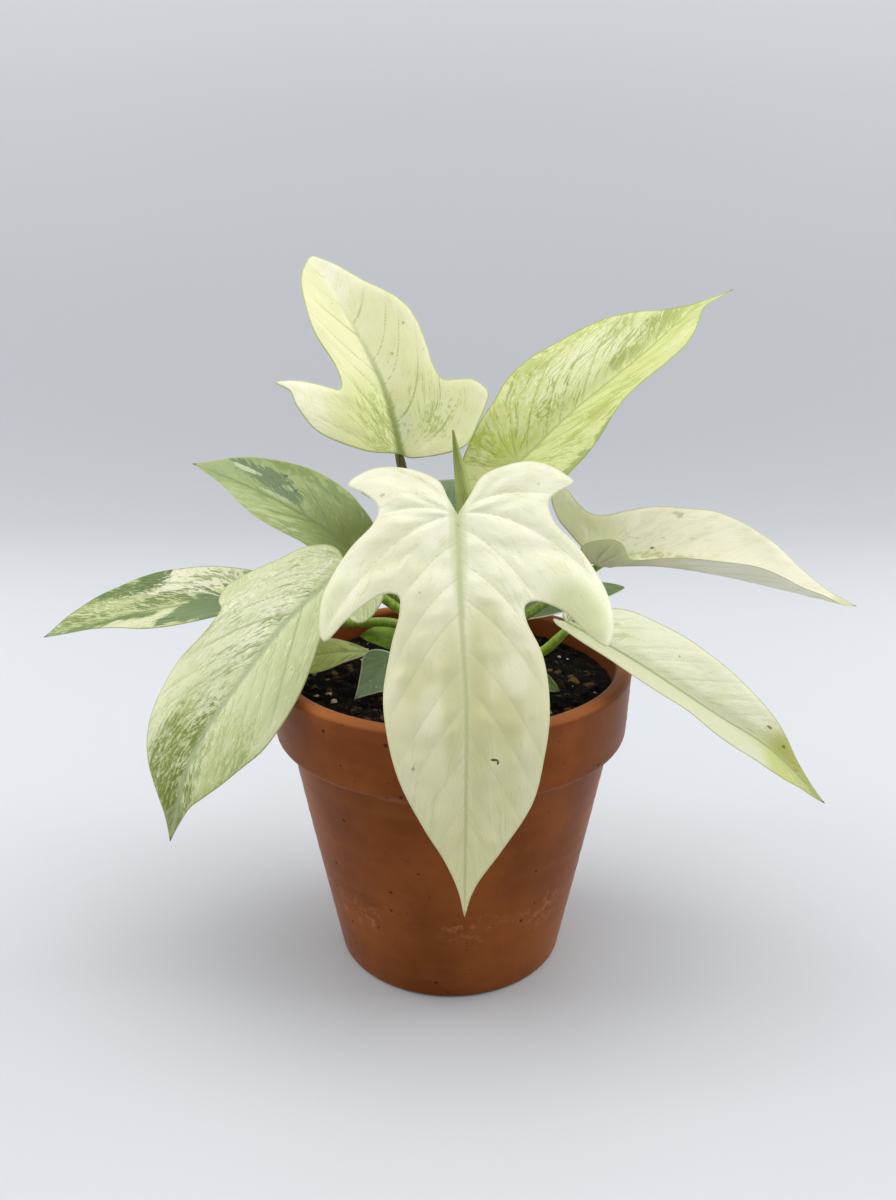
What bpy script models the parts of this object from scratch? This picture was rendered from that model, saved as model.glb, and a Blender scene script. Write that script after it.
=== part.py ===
"""A young florida ghost philodendron in a round clay pot, at its real size.

The pot, the soil, the short stem, each leaf stalk and each leaf blade are separate solids. A blade is
a flat outline bent over its own midrib: the halves rise from the midrib in a shallow V and curl back
towards their edges. Run it with blender --background --python part.py, or from the text editor.
The front of the plant faces -Y, and the pot stands on z = 0 with its axis at x = y = 0.
"""

from math import cos, pi, radians, sin

import bmesh
import bpy
from mathutils import Matrix, Vector
from mathutils.geometry import delaunay_2d_cdt

MM = 0.001
GAP = 0.3  # clearance between pieces that touch, mm

# The clay pot, mm
POT_HEIGHT = 115.0
RIM_RADIUS = 65.0
RIM_LOW_RADIUS = 64.1
RIM_LOW = 88.5  # height of the rim's lower edge
RIM_WALL = 6.0
RIM_ROUND = 3.7  # height of the rounding under the rim
LIP = 2.2  # rounding of the rim's top
BODY_TOP_RADIUS = 59.0
BASE_RADIUS = 42.5
BASE_ROUND = 2.0
BODY_WALL = 6.0
LEDGE_RISE = 5.0  # inside, the wall steps out from this far above the rim's lower edge
LEDGE_DROP = 4.0  # down to this far below it
LEDGE_SETBACK = 1.2
FLOOR = 7.0
FLOOR_ROUND = 5.0
DRAIN_RADIUS = 9.0
DRAIN_BEVEL = 1.5
POT_STEPS = 56

# The soil, mm
SOIL_TOP = 106.5
SOIL_DOME = 1.0
SOIL_RELIEF = 0.8
SOIL_RINGS = 7
SOIL_STEPS = 40
SOIL_DRAFT_GAP = 0.6
SOIL_LOW_RING = 20.0
SOIL_FOOT = 8.0

# The stem and the rolled new leaf, mm
STEM_RADIUS = 5.0
STEM_FOOT = 72.0
STEM_TOP = 136.0
STEM_CROWN = 0.45  # share of the radius lost at the rounded top
STEM_JOINTS = 4
STEM_SWELL = 0.7
STEM_RINGS = 20
STEM_STEPS = 16
SPEAR_ROUTE = ((0.3, -0.8, 137.5), (1.2, -4.5, 152.0), (4.5, -11.0, 172.0), (0.7, -13.0, 198.5))
SPEAR_RADII = (2.4, 2.8, 3.1, 0.35)
SPEAR_STEPS = 10

# The leaves, mm
BLADE = 0.8
KEEL = 3.0  # the V of a blade opens over this width beside the midrib
EDGE_STEP = 4.2
GRID_STEP = 7.0
RIB_STEPS = 64
CURL_STEPS = 10
ROUTE_STEPS = 24
STALK_RADIUS = 1.7
STALK_TIP_RADIUS = 1.5
STALK_STEP = 7.0
STALK_REACH = 2.5  # a stalk ends under the midrib, this far past the blade's sinus
CROWN_LEAN = 2.76  # degrees by which the leaves below are leant back as one
CROWN_PIVOT = (0.0, 8.3, 75.1)

CLAY = (0.33, 0.12, 0.05)
EARTH = (0.02, 0.015, 0.01)
GREEN = (0.17, 0.26, 0.03)
CREAM = (0.80, 0.80, 0.56)
MINT = (0.62, 0.70, 0.42)
OLIVE = (0.30, 0.40, 0.14)

# Each blade: the midrib's route from the stalk to the tip, the way that the upper face looks at the
# stalk and at the tip, the angles in degrees by which the left and right halves rise, and by which
# they curl over 10 mm, then each half's outline as (along the midrib, out from it). Seen on its upper
# face with the tip ahead, right is right.
LEAVES = {
    "front": {
        "midrib": ((2, -40, 175), (3, -58, 148), (4.5, -70, 125), (4.5, -78, 104), (4, -88, 63)),
        "face": ((0, -0.8, 0.6), (0, -1, 0.15)),
        "fold": (12, 12), "curl": (-8, -8), "sinus": 0, "colour": CREAM,
        "left": ((-6, 4), (-13, 9), (-17, 20), (-17, 28), (-14, 35), (-11, 38), (-7, 32), (-3, 29),
                 (4, 31), (12, 39), (24, 47), (36, 49), (45, 46), (41, 39), (34, 33), (30, 25),
                 (31, 20), (37, 20), (48, 24), (62, 25), (76, 23.5), (90, 20), (104, 11.5),
                 (115, 3.5)),
        "right": ((-6, 3), (-12, 6), (-16, 15), (-17, 25), (-15, 32), (-12, 35), (-8, 29), (-3, 25),
                  (3, 27), (11, 35), (23, 43), (34, 45), (38, 43), (33, 36), (29, 30), (26, 24),
                  (27, 19), (33, 19), (42, 22), (56, 25), (70, 24), (84, 20), (98, 12.8),
                  (110, 5.5)),
        "stalk": ((0, -4, 128), (1, -14, 149), (1.5, -29, 168)), "stem_z": 125,
    },
    "upper_left": {
        "midrib": ((-17, -10, 190), (-23, -4, 212), (-34, 4, 233), (-48, 14, 255)),
        "face": ((0.45, -1, 0.3), (0.45, -1, 0.3)),
        "fold": (14, 14), "curl": (-4, -4), "sinus": 0, "colour": CREAM,
        "left": ((1, 4), (3, 13), (9, 25), (15, 30.5), (24, 33), (31, 33), (36, 36), (34, 29),
                 (28, 20), (26, 17), (28, 15), (36, 14), (49, 15), (61, 12), (70, 8), (75, 3)),
        "right": ((-2, 3), (-3, 10), (-3, 18), (-1, 24.5), (6, 30), (11, 34), (15, 36), (19, 32),
                  (20, 26), (21, 21), (25, 19.5), (33, 20.5), (42, 21), (50, 18.5), (60, 11.5),
                  (69, 6.5), (75, 2)),
        "stalk": ((-3, 0, 132), (-8, 1, 150), (-14, -3, 172)), "stem_z": 130,
    },
    "upper_right": {
        "midrib": ((24, 4, 185), (44, 15, 202), (70, 28, 221), (89, 37, 236), (105, 42, 244)),
        "face": ((0.2, -0.5, 0.8), (-0.2, -0.2, 0.9)),
        "fold": (30, 26), "curl": (-6, -4), "sinus": 0, "colour": MINT,
        "left": ((-4, 3), (-12, 5), (-17, 9), (-14, 13), (-9, 16), (0, 20), (10, 22), (20, 25),
                 (32, 26), (44, 25), (56, 24), (66, 21), (75, 15.5), (83, 8.5), (91, 3.5), (100, 1.2)),
        "right": ((-4, 3), (-13, 7), (-18, 13), (-16, 19), (-8, 21), (5, 20.5), (14, 21), (25, 20),
                  (38, 17.5), (50, 16.5), (59, 18), (68, 19), (76, 17), (84, 12), (92, 6), (100, 2)),
        "stalk": ((3, 1, 133), (8, 3, 152), (17, 4, 174)), "stem_z": 131,
    },
    "right": {
        "midrib": ((53, 6, 148.5), (75, 8, 148), (98, 10, 144), (123, 12, 137.5), (153, 16, 129)),
        "face": ((0, -0.45, 0.9), (0, -0.45, 0.9)),
        "fold": (40, 64), "tip_fold": (40, 46), "curl": (-6, 0), "sinus": -1, "colour": CREAM,
        "left": ((-3, 3), (-6, 7), (-9, 11), (-13, 17), (-15, 25), (-13, 29), (-9, 29), (-6, 24),
                 (-2, 19.5), (4, 18), (13, 20), (22, 22), (33, 23), (43, 24), (52, 22), (60, 19),
                 (69, 15.5), (79, 9.5), (89, 4.5), (97, 2)),
        "right": ((-3, 2.5), (-7, 8), (-9, 15), (-8, 20), (-4, 22.5), (1, 23), (5, 20), (8, 13),
                  (11, 6.5), (17, 5.5), (25, 8.5), (33, 13), (42, 17), (53, 20), (64, 17), (76, 10),
                  (88, 6), (97, 2)),
        "stalk": ((4, 0, 121), (22, 0, 127), (41, 3, 139)), "stem_z": 119,
    },
    "lower_right": {
        "midrib": ((43, -19, 131.5), (64, -27, 121), (90, -34, 105), (108, -38, 94), (126, -44, 77)),
        "face": ((0.3, -0.3, 0.9), (0.1, -0.65, 0.8)),
        "fold": (30, 30), "curl": (-6, -6), "sinus": -4, "colour": MINT,
        "left": ((-6, 2), (-5.5, 5), (0, 11), (7, 15), (13, 17.5), (24, 18.5), (33, 19), (43, 18),
                 (52, 17), (62, 15), (70, 12), (78, 8), (86, 4), (95, 1.5)),
        "right": ((-6.5, 3), (-7, 8), (-6, 13), (-3, 17), (3, 19), (9, 19.5), (16, 18), (25, 16),
                  (37, 14.5), (46, 13.5), (56, 15), (66, 16), (76, 13.5), (85, 8.5), (92, 4.5),
                  (98, 2)),
        "stalk": ((4, -2, 114), (18, -6, 117), (31, -12, 119.5)), "stem_z": 113,
    },
    "lower_left": {
        "midrib": ((-36, -8, 151), (-54, -19, 136), (-72, -32, 115), (-87, -42, 92), (-95, -46, 64)),
        "face": ((-0.4, -0.6, 0.7), (-0.6, -0.8, 0.1)),
        "fold": (12, 12), "curl": (-6, -6), "sinus": 0, "colour": MINT,
        "left": ((-2, 4), (-4, 11), (-2, 18), (2, 24), (7, 26.5), (12, 27), (15, 25), (16, 21),
                 (20, 18), (27, 18), (36, 22), (46, 25), (58, 26.5), (69, 26), (78, 22.5), (87, 18),
                 (94, 12.5), (101, 6), (109, 2)),
        "right": ((-1, 4), (-2, 8), (-1, 13), (3, 18), (8, 21.5), (14, 24), (20, 27.5), (26, 31),
                  (31, 33), (36, 31), (38, 27), (42, 26), (50, 26), (60, 27.5), (70, 27), (79, 25),
                  (87, 21), (94, 16), (101, 10), (107, 5), (112, 2)),
        "stalk": ((-4, -3, 125), (-12, -8, 130), (-21, -10.5, 137.5)), "stem_z": 123,
    },
    "far_left": {
        "midrib": ((-67, 6, 134), (-93, 7, 132.5), (-118, 10, 127.5), (-153, 12, 118)),
        "face": ((0, -0.3, 0.95), (0, -0.3, 0.95)),
        "fold": (18, 18), "curl": (-4, -4), "sinus": 0, "colour": MINT,
        "left": ((-1, 3), (1, 7), (6, 9.5), (13, 13.5), (20, 18), (28, 20), (36, 19.5), (44, 17.5),
                 (52, 14), (60, 9.5), (68, 5), (78, 2)),
        "right": ((-2, 3), (-3, 9), (1, 14), (9, 16.5), (18, 18), (26, 19.5), (36, 20.5), (45, 21),
                  (53, 20), (60, 18), (67, 15.5), (74, 11), (80, 7), (85, 3)),
        "stalk": ((-4, 0, 118), (-19.5, -2, 127.5), (-39, 2, 126.5), (-58, 5, 128.5)), "stem_z": 116,
    },
    "mid_left": {
        "midrib": ((-34, 16, 148), (-49, 21, 159), (-73, 31, 170), (-100, 42, 179)),
        "face": ((-0.1, -0.35, 0.9), (-0.1, -0.35, 0.9)),
        "fold": (14, 14), "curl": (-4, -4), "sinus": 0, "colour": OLIVE,
        "left": ((-1, 4), (3, 9), (10, 13), (20, 13.5), (31, 15), (39, 15), (46, 13), (54, 9),
                 (61, 5.5), (69, 2.5)),
        "right": ((-2, 4), (0, 11), (6, 15), (13, 17.5), (20, 20), (29, 21), (38, 21), (46, 19.5),
                  (54, 16.5), (62, 12.5), (70, 6.5), (75, 2.5)),
        "stalk": ((-3, 3, 121), (-12, 8, 129), (-28, 13, 139)), "stem_z": 119,
    },
    "back": {
        "midrib": ((-4, 23, 166), (-5, 42, 172), (-6, 63, 165), (-6, 86, 143)),
        "face": ((0, -0.2, 1), (0, 0.6, 0.8)),
        "fold": (8, 8), "curl": (-10, -10), "sinus": 0, "colour": OLIVE,
        "left": ((-4, 3), (-11, 7), (-14, 14), (-11, 20), (-3, 21.5), (5, 23), (13, 28), (19, 30),
                 (21, 25), (23, 19), (31, 18), (43, 19), (55, 16), (66, 10), (75, 4)),
        "right": ((-4, 3), (-11, 7), (-14, 13), (-12, 19), (-4, 22), (4, 23), (12, 27), (18, 30),
                  (21, 26), (22, 19), (30, 17), (42, 18.5), (54, 16.5), (66, 9.5), (75, 3.5)),
        "stalk": ((0, 3, 131), (-1, 8, 145), (-3, 16, 158)), "stem_z": 129,
    },
    "back_right": {
        "midrib": ((16, 18, 139), (36, 34, 142), (54, 44, 136), (71, 52, 127)),
        "face": ((0.1, -0.3, 0.9), (0.2, -0.2, 0.9)),
        "fold": (10, -4), "curl": (-6, -10), "sinus": 0, "colour": OLIVE,
        "left": ((-3, 3), (-8, 7), (-9, 13), (-3, 17), (8, 18), (20, 18), (32, 16), (44, 12),
                 (54, 7), (63, 3)),
        "right": ((-3, 3), (-8, 7), (-9, 13), (-3, 17), (8, 18.5), (20, 18), (32, 16), (44, 12),
                  (54, 7.5), (63, 3)),
        "stalk": ((3, 3, 122), (7, 7, 127), (12, 13, 132)), "stem_z": 120,
    },
    "small_left": {
        "midrib": ((-28, -10, 119.5), (-42, -12, 120), (-60, -14, 117)),
        "face": ((0, -0.5, 0.85), (0, -0.5, 0.85)),
        "fold": (10, 10), "curl": (-6, -6), "sinus": 0, "colour": MINT,
        "left": ((3, 2), (9, 5), (17, 8), (24, 8), (29, 4.5)),
        "right": ((3, 2), (9, 4.5), (17, 7), (24, 7.5), (29, 4.5)),
        "stalk": ((-4, -2, 112), (-12, -5, 114), (-22, -8, 116)), "stem_z": 111,
    },
    "small_front": {
        "midrib": ((-19, -24, 122), (-26, -27.5, 116), (-33, -30, 109)),
        "face": ((-0.3, -0.8, 0.5), (-0.3, -0.8, 0.5)),
        "fold": (8, 8), "curl": (-6, -6), "sinus": 0, "colour": OLIVE,
        "left": ((0, 3), (4, 6.5), (9, 7), (13, 4.5), (17, 1.8)),
        "right": ((0, 3), (3, 7.5), (7, 8.5), (12, 5), (17, 1.6)),
        "stalk": ((-1, -4.5, 112), (-7, -12, 114), (-14, -18, 117)), "stem_z": 111.5,
    },
    "small_back": {
        "midrib": ((-16, 2, 118), (-24, 1, 122), (-33, -1, 122.5)),
        "face": ((0, -0.6, 0.8), (0, -0.6, 0.8)),
        "fold": (6, 6), "curl": (-6, -6), "sinus": 0, "colour": GREEN,
        "left": ((0, 2.5), (5, 5), (10, 5.5), (15, 3)),
        "right": ((0, 2.5), (5, 4.5), (10, 4.5), (15, 2.5)),
        "stalk": ((-4, 3, 112), (-8, 4, 112.5), (-12, 3.5, 114)), "stem_z": 111,
    },
    "small_right": {
        "midrib": ((16, -20, 114), (26, -25, 116), (37, -30, 112)),
        "face": ((0.1, -0.4, 0.9), (0.1, -0.4, 0.9)),
        "fold": (8, 8), "curl": (-8, -8), "sinus": 0, "colour": GREEN,
        "left": ((0, 3), (5, 6), (11, 6.5), (17, 4.5), (22, 2)),
        "right": ((0, 3), (5, 6), (11, 6.5), (17, 4.5), (22, 2)),
        "stalk": ((2, -4, 112), (6, -10, 111), (12, -16, 110.5)), "stem_z": 112,
    },
}


def clear_scene():
    for obj in list(bpy.data.objects):
        bpy.data.objects.remove(obj, do_unlink=True)


def collection(name):
    group = bpy.data.collections.new(name)
    bpy.context.scene.collection.children.link(group)
    return group


def material(name, colour, roughness):
    """A plain Principled material, made once for each name."""
    found = bpy.data.materials.get(name)
    if found:
        return found
    made = bpy.data.materials.new(name)
    made.use_nodes = True
    shader = made.node_tree.nodes["Principled BSDF"]
    shader.inputs["Base Color"].default_value = (*colour, 1)
    shader.inputs["Roughness"].default_value = roughness
    shader.inputs["Metallic"].default_value = 0
    return made


def add_object(name, mesh, group, finish):
    obj = bpy.data.objects.new(name, mesh)
    group.objects.link(obj)
    mesh.materials.append(finish)
    return obj


def turned(name, profile, steps, group, finish):
    """A solid of revolution about Z. The closed profile (radius, height) runs down its outer side."""
    form = bmesh.new()
    corners = [form.verts.new((r * MM, 0, z * MM)) for r, z in profile]
    for first, second in zip(corners, corners[1:]):
        form.edges.new((first, second))
    mesh = bpy.data.meshes.new(name)
    form.to_mesh(mesh)
    form.free()
    obj = add_object(name, mesh, group, finish)
    screw = obj.modifiers.new("turn", "SCREW")
    screw.axis = "Z"
    screw.steps = steps
    screw.render_steps = steps
    screw.use_merge_vertices = True
    screw.merge_threshold = 0.00001
    screw.use_smooth_shade = True
    return obj


def fixed(obj):
    """The object with its modifiers turned into its own mesh."""
    graph = bpy.context.evaluated_depsgraph_get()
    mesh = bpy.data.meshes.new_from_object(obj.evaluated_get(graph))
    obj.modifiers.clear()
    obj.data = mesh
    return obj


def arc(centre, radii, start, end, steps):
    """Points of an elliptic arc in a profile, between two angles in degrees."""
    angles = [radians(start + (end - start) * i / steps) for i in range(steps + 1)]
    return [(centre[0] + radii[0] * cos(a), centre[1] + radii[1] * sin(a)) for a in angles]


def pot(group):
    """The clay pot: a tapered body under a thick rim whose lower edge is rounded, with a drain hole."""
    wall = inner_wall()
    outline = arc((RIM_RADIUS - LIP, POT_HEIGHT - LIP), (LIP, LIP), 90, 0, 4)
    under = (RIM_LOW_RADIUS - BODY_TOP_RADIUS, RIM_ROUND)
    outline += arc((BODY_TOP_RADIUS, RIM_LOW + RIM_ROUND), under, 0, -90, 6)
    outline += arc((BASE_RADIUS - BASE_ROUND, BASE_ROUND), (BASE_ROUND, BASE_ROUND), 0, -90, 3)
    outline += [(DRAIN_RADIUS + DRAIN_BEVEL, 0), (DRAIN_RADIUS, DRAIN_BEVEL), (DRAIN_RADIUS, FLOOR)]
    corner = (wall[0][0] - FLOOR_ROUND, FLOOR + FLOOR_ROUND)
    outline += arc(corner, (FLOOR_ROUND, FLOOR_ROUND), -90, 0, 3)
    outline += wall[1:-1]
    outline += arc((wall[-1][0] + LIP, POT_HEIGHT - LIP), (LIP, LIP), 180, 90, 3)
    outline.append(outline[0])
    obj = turned("pot", outline, POT_STEPS, group, material("clay", CLAY, 0.9))
    obj.data.shade_smooth()
    return obj


def inner_wall():
    """The pot's inner face above the rounding of its floor, as (radius, height) upwards."""
    return [
        (BASE_RADIUS - BODY_WALL, FLOOR + FLOOR_ROUND),
        (BODY_TOP_RADIUS - BODY_WALL, RIM_LOW - LEDGE_DROP),
        (RIM_RADIUS - RIM_WALL - LEDGE_SETBACK, RIM_LOW + LEDGE_RISE),
        (RIM_RADIUS - RIM_WALL, POT_HEIGHT - LIP),
    ]


def inner_radius(height):
    """The pot's inner radius at a height between its floor and its rim."""
    wall = inner_wall()
    for low, high in zip(wall, wall[1:]):
        if height <= high[1]:
            share = max(0.0, (height - low[1]) / (high[1] - low[1]))
            return low[0] + (high[0] - low[0]) * share
    return wall[-1][0]


def soil(group):
    """The soil: it fills the pot to just under the rim, with a low dome, lumps and a hole for the stem."""
    hole = STEM_RADIUS + STEM_SWELL + GAP
    rim = inner_radius(SOIL_TOP) - SOIL_DRAFT_GAP
    rings = [hole + (rim - hole) * i / SOIL_RINGS for i in range(SOIL_RINGS + 1)]
    outline = [(r, SOIL_TOP + SOIL_DOME * cos(pi / 2 * r / rim)) for r in rings]
    for height in (RIM_LOW + LEDGE_RISE, RIM_LOW - LEDGE_DROP, SOIL_LOW_RING):
        outline.append((inner_radius(height) - SOIL_DRAFT_GAP, height))
    foot = inner_radius(SOIL_FOOT) - SOIL_DRAFT_GAP - FLOOR_ROUND
    outline += [(foot, SOIL_FOOT), (0, SOIL_FOOT)]
    outline = [(0, STEM_FOOT - GAP), (hole, STEM_FOOT - GAP)] + outline
    obj = fixed(turned("soil", outline, SOIL_STEPS, group, material("earth", EARTH, 0.95)))
    for vertex in obj.data.vertices:
        x, y, z = (c / MM for c in vertex.co)
        reach = (x * x + y * y) ** 0.5
        if z > SOIL_TOP - 0.5 and hole + 1 < reach < rim - 1:
            lump = sin(0.52 * x + 1.3) * cos(0.47 * y - 0.6) + 0.6 * sin(0.9 * y + 0.31 * x)
            vertex.co.z += SOIL_RELIEF * lump * MM
    return obj


def stem_profile(extra):
    """The stem's closed outline with a low ring at each joint. extra widens it for a cutter."""
    outline = [(0, STEM_TOP + extra)]
    for i in range(STEM_RINGS + 1):
        share = i / STEM_RINGS
        height = STEM_TOP + extra - (STEM_TOP - STEM_FOOT + 2 * extra) * share
        ring = STEM_SWELL * max(0.0, cos(2 * pi * STEM_JOINTS * share)) ** 3
        crown = 1 - STEM_CROWN * max(0.0, 1 - share * 8) ** 2
        outline.append(((STEM_RADIUS + ring) * crown + extra, height))
    outline.append((0, STEM_FOOT - extra))
    return outline


def route(points, count):
    """Points at even steps along a smooth curve through the given ones."""
    knots = [Vector(p) for p in points]
    knots = [2 * knots[0] - knots[1]] + knots + [2 * knots[-1] - knots[-2]]
    fine = []
    for a, b, c, d in zip(knots, knots[1:], knots[2:], knots[3:]):
        for i in range(ROUTE_STEPS):
            t = i / ROUTE_STEPS
            fine.append(0.5 * (2 * b + (c - a) * t + (2 * a - 5 * b + 4 * c - d) * t * t
                               + (3 * b - a - 3 * c + d) * t ** 3))
    fine.append(knots[-2])
    walked = [0.0]
    for first, second in zip(fine, fine[1:]):
        walked.append(walked[-1] + (second - first).length)
    even, at = [], 0
    for i in range(count + 1):
        goal = walked[-1] * i / count
        while at < len(walked) - 2 and walked[at + 1] < goal:
            at += 1
        share = (goal - walked[at]) / max(walked[at + 1] - walked[at], 1e-9)
        even.append(fine[at].lerp(fine[at + 1], share))
    return even, walked[-1]


class Surface:
    """The bent surface of one blade."""

    def __init__(self, leaf):
        self.line, self.length = route(leaf["midrib"], RIB_STEPS)
        self.faces = [Vector(face).normalized() for face in leaf["face"]]
        self.fold = leaf["fold"]
        self.tip_fold = leaf.get("tip_fold", leaf["fold"])
        self.curl = leaf["curl"]

    def frame(self, along):
        """The point of the midrib, its direction, the upper side's normal and the way to the right."""
        inside = min(max(along, 0.0), self.length)
        place = inside / self.length * RIB_STEPS
        at = min(int(place), RIB_STEPS - 1)
        point = self.line[at].lerp(self.line[at + 1], place - at)
        before = self.line[max(at - 1, 0)]
        after = self.line[min(at + 2, RIB_STEPS)]
        ahead = (after - before).normalized()
        face = self.faces[0].lerp(self.faces[1], inside / self.length)
        normal = (face - ahead * face.dot(ahead)).normalized()
        return point + ahead * (along - inside), ahead, normal, ahead.cross(normal)

    def at(self, along, across):
        """A point of the blade. across is positive on the right half."""
        point, _, normal, right = self.frame(along)
        side = 1 if across > 0 else 0
        share = min(max(along / self.length, 0.0), 1.0)
        fold = radians(self.fold[side] * (1 - share) + self.tip_fold[side] * share)
        curl = radians(self.curl[side]) / 10
        width, out, up = abs(across), 0.0, 0.0
        for i in range(CURL_STEPS):
            reach = width * (i + 0.5) / CURL_STEPS
            angle = fold * min(1.0, reach / KEEL) + curl * reach
            out += cos(angle) * width / CURL_STEPS
            up += sin(angle) * width / CURL_STEPS
        return point + right * (out if across > 0 else -out) + normal * up


def blade_outline(leaf, length):
    """The flat outline at even steps, with the sinus, the tip and each side's lobes."""
    loop = []
    for side, sign in (("right", 1), ("left", -1)):
        ends = [(leaf["sinus"], 0.0)] + [(u, sign * v) for u, v in leaf[side]] + [(length, 0.0)]
        flat = [(u, v, 0.0) for u, v in ends]
        _, whole = route(flat, 1)
        edge, _ = route(flat, max(8, round(whole / EDGE_STEP)))
        loop.append([(p.x, p.y) for p in edge])
    return loop[0][:-1] + loop[1][::-1][:-1]


def inside(point, loop):
    """Whether a point lies inside a closed outline."""
    odd = False
    for (x1, y1), (x2, y2) in zip(loop, loop[1:] + loop[:1]):
        if (y1 > point[1]) != (y2 > point[1]):
            odd ^= point[0] < x1 + (point[1] - y1) * (x2 - x1) / (y2 - y1)
    return odd


def clearance(point, loop):
    return min(((point[0] - x) ** 2 + (point[1] - y) ** 2) ** 0.5 for x, y in loop)


def blade(name, leaf, group):
    """A leaf blade: its outline filled with triangles, bent over the midrib and given its thickness."""
    surface = Surface(leaf)
    loop = blade_outline(leaf, surface.length)
    rows = int(surface.length / GRID_STEP)
    rib = [(surface.length * (i + 0.5) / rows, 0.0) for i in range(rows)]
    rib = [p for p in rib if inside(p, loop) and clearance(p, loop) > 0.35 * EDGE_STEP]
    fill = []
    for i in range(-6, rows + 3):
        for j in range(-9, 10):
            spot = ((i + 0.5 * (j % 2)) * GRID_STEP, j * GRID_STEP * 0.87)
            if j and inside(spot, loop) and clearance(spot, loop) > 0.5 * GRID_STEP:
                fill.append(spot)
    flat = [Vector(p) for p in loop + rib + fill]
    ring = [(i, (i + 1) % len(loop)) for i in range(len(loop))]
    keel = [(len(loop) + i, len(loop) + i + 1) for i in range(len(rib) - 1)]
    points, _, faces, _, _, _ = delaunay_2d_cdt(flat, ring + keel, [], 1, 1e-5)
    form = bmesh.new()
    corners = [form.verts.new(surface.at(p.x, p.y) * MM) for p in points]
    for face in faces:
        form.faces.new([corners[i] for i in face])
    bmesh.ops.recalc_face_normals(form, faces=form.faces)
    mesh = bpy.data.meshes.new(name)
    form.to_mesh(mesh)
    form.free()
    obj = add_object(name, mesh, group, material(name.replace("blade", "leaf"), leaf["colour"], 0.45))
    skin = obj.modifiers.new("thickness", "SOLIDIFY")
    skin.thickness = BLADE * MM
    skin.offset = 0
    obj.data.shade_smooth()
    return obj


def tube(name, points, radii, group, finish, count):
    """A round stalk along a smooth route, as a closed mesh."""
    path, _ = route(points, count)
    curve = bpy.data.curves.new(name, "CURVE")
    curve.dimensions = "3D"
    curve.bevel_depth = MM
    curve.bevel_resolution = 2
    curve.use_fill_caps = True
    spline = curve.splines.new("POLY")
    spline.points.add(len(path) - 1)
    for i, (knot, place) in enumerate(zip(spline.points, path)):
        share = i / (len(path) - 1) * (len(radii) - 1)
        low = min(int(share), len(radii) - 2)
        knot.co = (*(place * MM), 1)
        knot.radius = radii[low] + (radii[low + 1] - radii[low]) * (share - low)
    shape = bpy.data.objects.new(name + "_route", curve)
    group.objects.link(shape)
    graph = bpy.context.evaluated_depsgraph_get()
    mesh = bpy.data.meshes.new_from_object(shape.evaluated_get(graph))
    bpy.data.objects.remove(shape)
    form = bmesh.new()
    form.from_mesh(mesh)
    bmesh.ops.remove_doubles(form, verts=form.verts, dist=1e-6)
    bmesh.ops.recalc_face_normals(form, faces=form.faces)
    form.to_mesh(mesh)
    form.free()
    mesh.materials.clear()
    obj = add_object(name, mesh, group, finish)
    obj.data.shade_smooth()
    return obj


def seat(leaf):
    """Where a stalk ends: just under the blade's midrib, clear of its lower face."""
    surface = Surface(leaf)
    point, _, normal, _ = surface.frame(leaf["sinus"] + STALK_REACH)
    last = Vector(leaf["stalk"][-1])
    drop = BLADE / 2 + GAP
    for _ in range(4):
        end = point - normal * drop
        way = (end - last).normalized()
        lean = max(0.0, 1 - way.dot(normal) ** 2) ** 0.5
        drop = BLADE / 2 + GAP + STALK_TIP_RADIUS * lean
    return tuple(point - normal * drop)


def stalk(name, leaf, group, cutter):
    """A leaf stalk from the stem, which it is cut to fit, up to its blade."""
    first = Vector(leaf["stalk"][0])
    root = Vector((first.x * 0.2, first.y * 0.2, leaf["stem_z"]))
    points = [tuple(root), *leaf["stalk"], seat(leaf)]
    _, length = route(points, 1)
    count = max(6, round(length / STALK_STEP))
    radii = (STALK_RADIUS, STALK_RADIUS, STALK_TIP_RADIUS)
    obj = tube(name, points, radii, group, material("stalk", GREEN, 0.4), count)
    cut = obj.modifiers.new("seat on stem", "BOOLEAN")
    cut.operation = "DIFFERENCE"
    cut.object = cutter
    return obj


def lean(points):
    """The points leant back about the crown's pivot."""
    turn = Matrix.Rotation(radians(-CROWN_LEAN), 3, "X")
    pivot = Vector(CROWN_PIVOT)
    return [tuple(pivot + turn @ (Vector(point) - pivot)) for point in points]


def leant(leaf):
    """A leaf whose blade and stalk lean back with the crown. The stalk's first point stays at the stem."""
    turn = Matrix.Rotation(radians(-CROWN_LEAN), 3, "X")
    moved = dict(leaf)
    moved["midrib"] = lean(leaf["midrib"])
    moved["face"] = [tuple(turn @ Vector(face)) for face in leaf["face"]]
    moved["stalk"] = [leaf["stalk"][0], *lean(leaf["stalk"][1:])]
    return moved


def build():
    clear_scene()
    parts = collection("florida ghost philodendron")
    cutters = collection("cutters")
    green = material("stalk", GREEN, 0.4)
    pot(parts)
    soil(parts)
    turned("stem", stem_profile(0), STEM_STEPS, parts, green).data.shade_smooth()
    cutter = turned("stem_cutter", stem_profile(GAP), STEM_STEPS, cutters, green)
    cutter.hide_render = True
    cutter.display_type = "WIRE"
    spear_route = [SPEAR_ROUTE[0], *lean(SPEAR_ROUTE[1:])]
    tube("spear", spear_route, SPEAR_RADII, parts, green, SPEAR_STEPS)
    for name, leaf in LEAVES.items():
        blade("blade_" + name, leant(leaf), parts)
        stalk("stalk_" + name, leant(leaf), parts, cutter)


build()
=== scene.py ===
"""A young florida ghost philodendron in its clay pot, dressed for show.

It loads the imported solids, replaces each with a finer piece of the same form and place, gives every piece
its material, and sets the stage. It is laid out as a Blender add-on and is run as a script. Lengths are in
millimetres up to the moment when a mesh is made. The plant faces -Y and its pot stands on z = 0.
"""

from math import cos, pi, radians, sin

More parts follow.
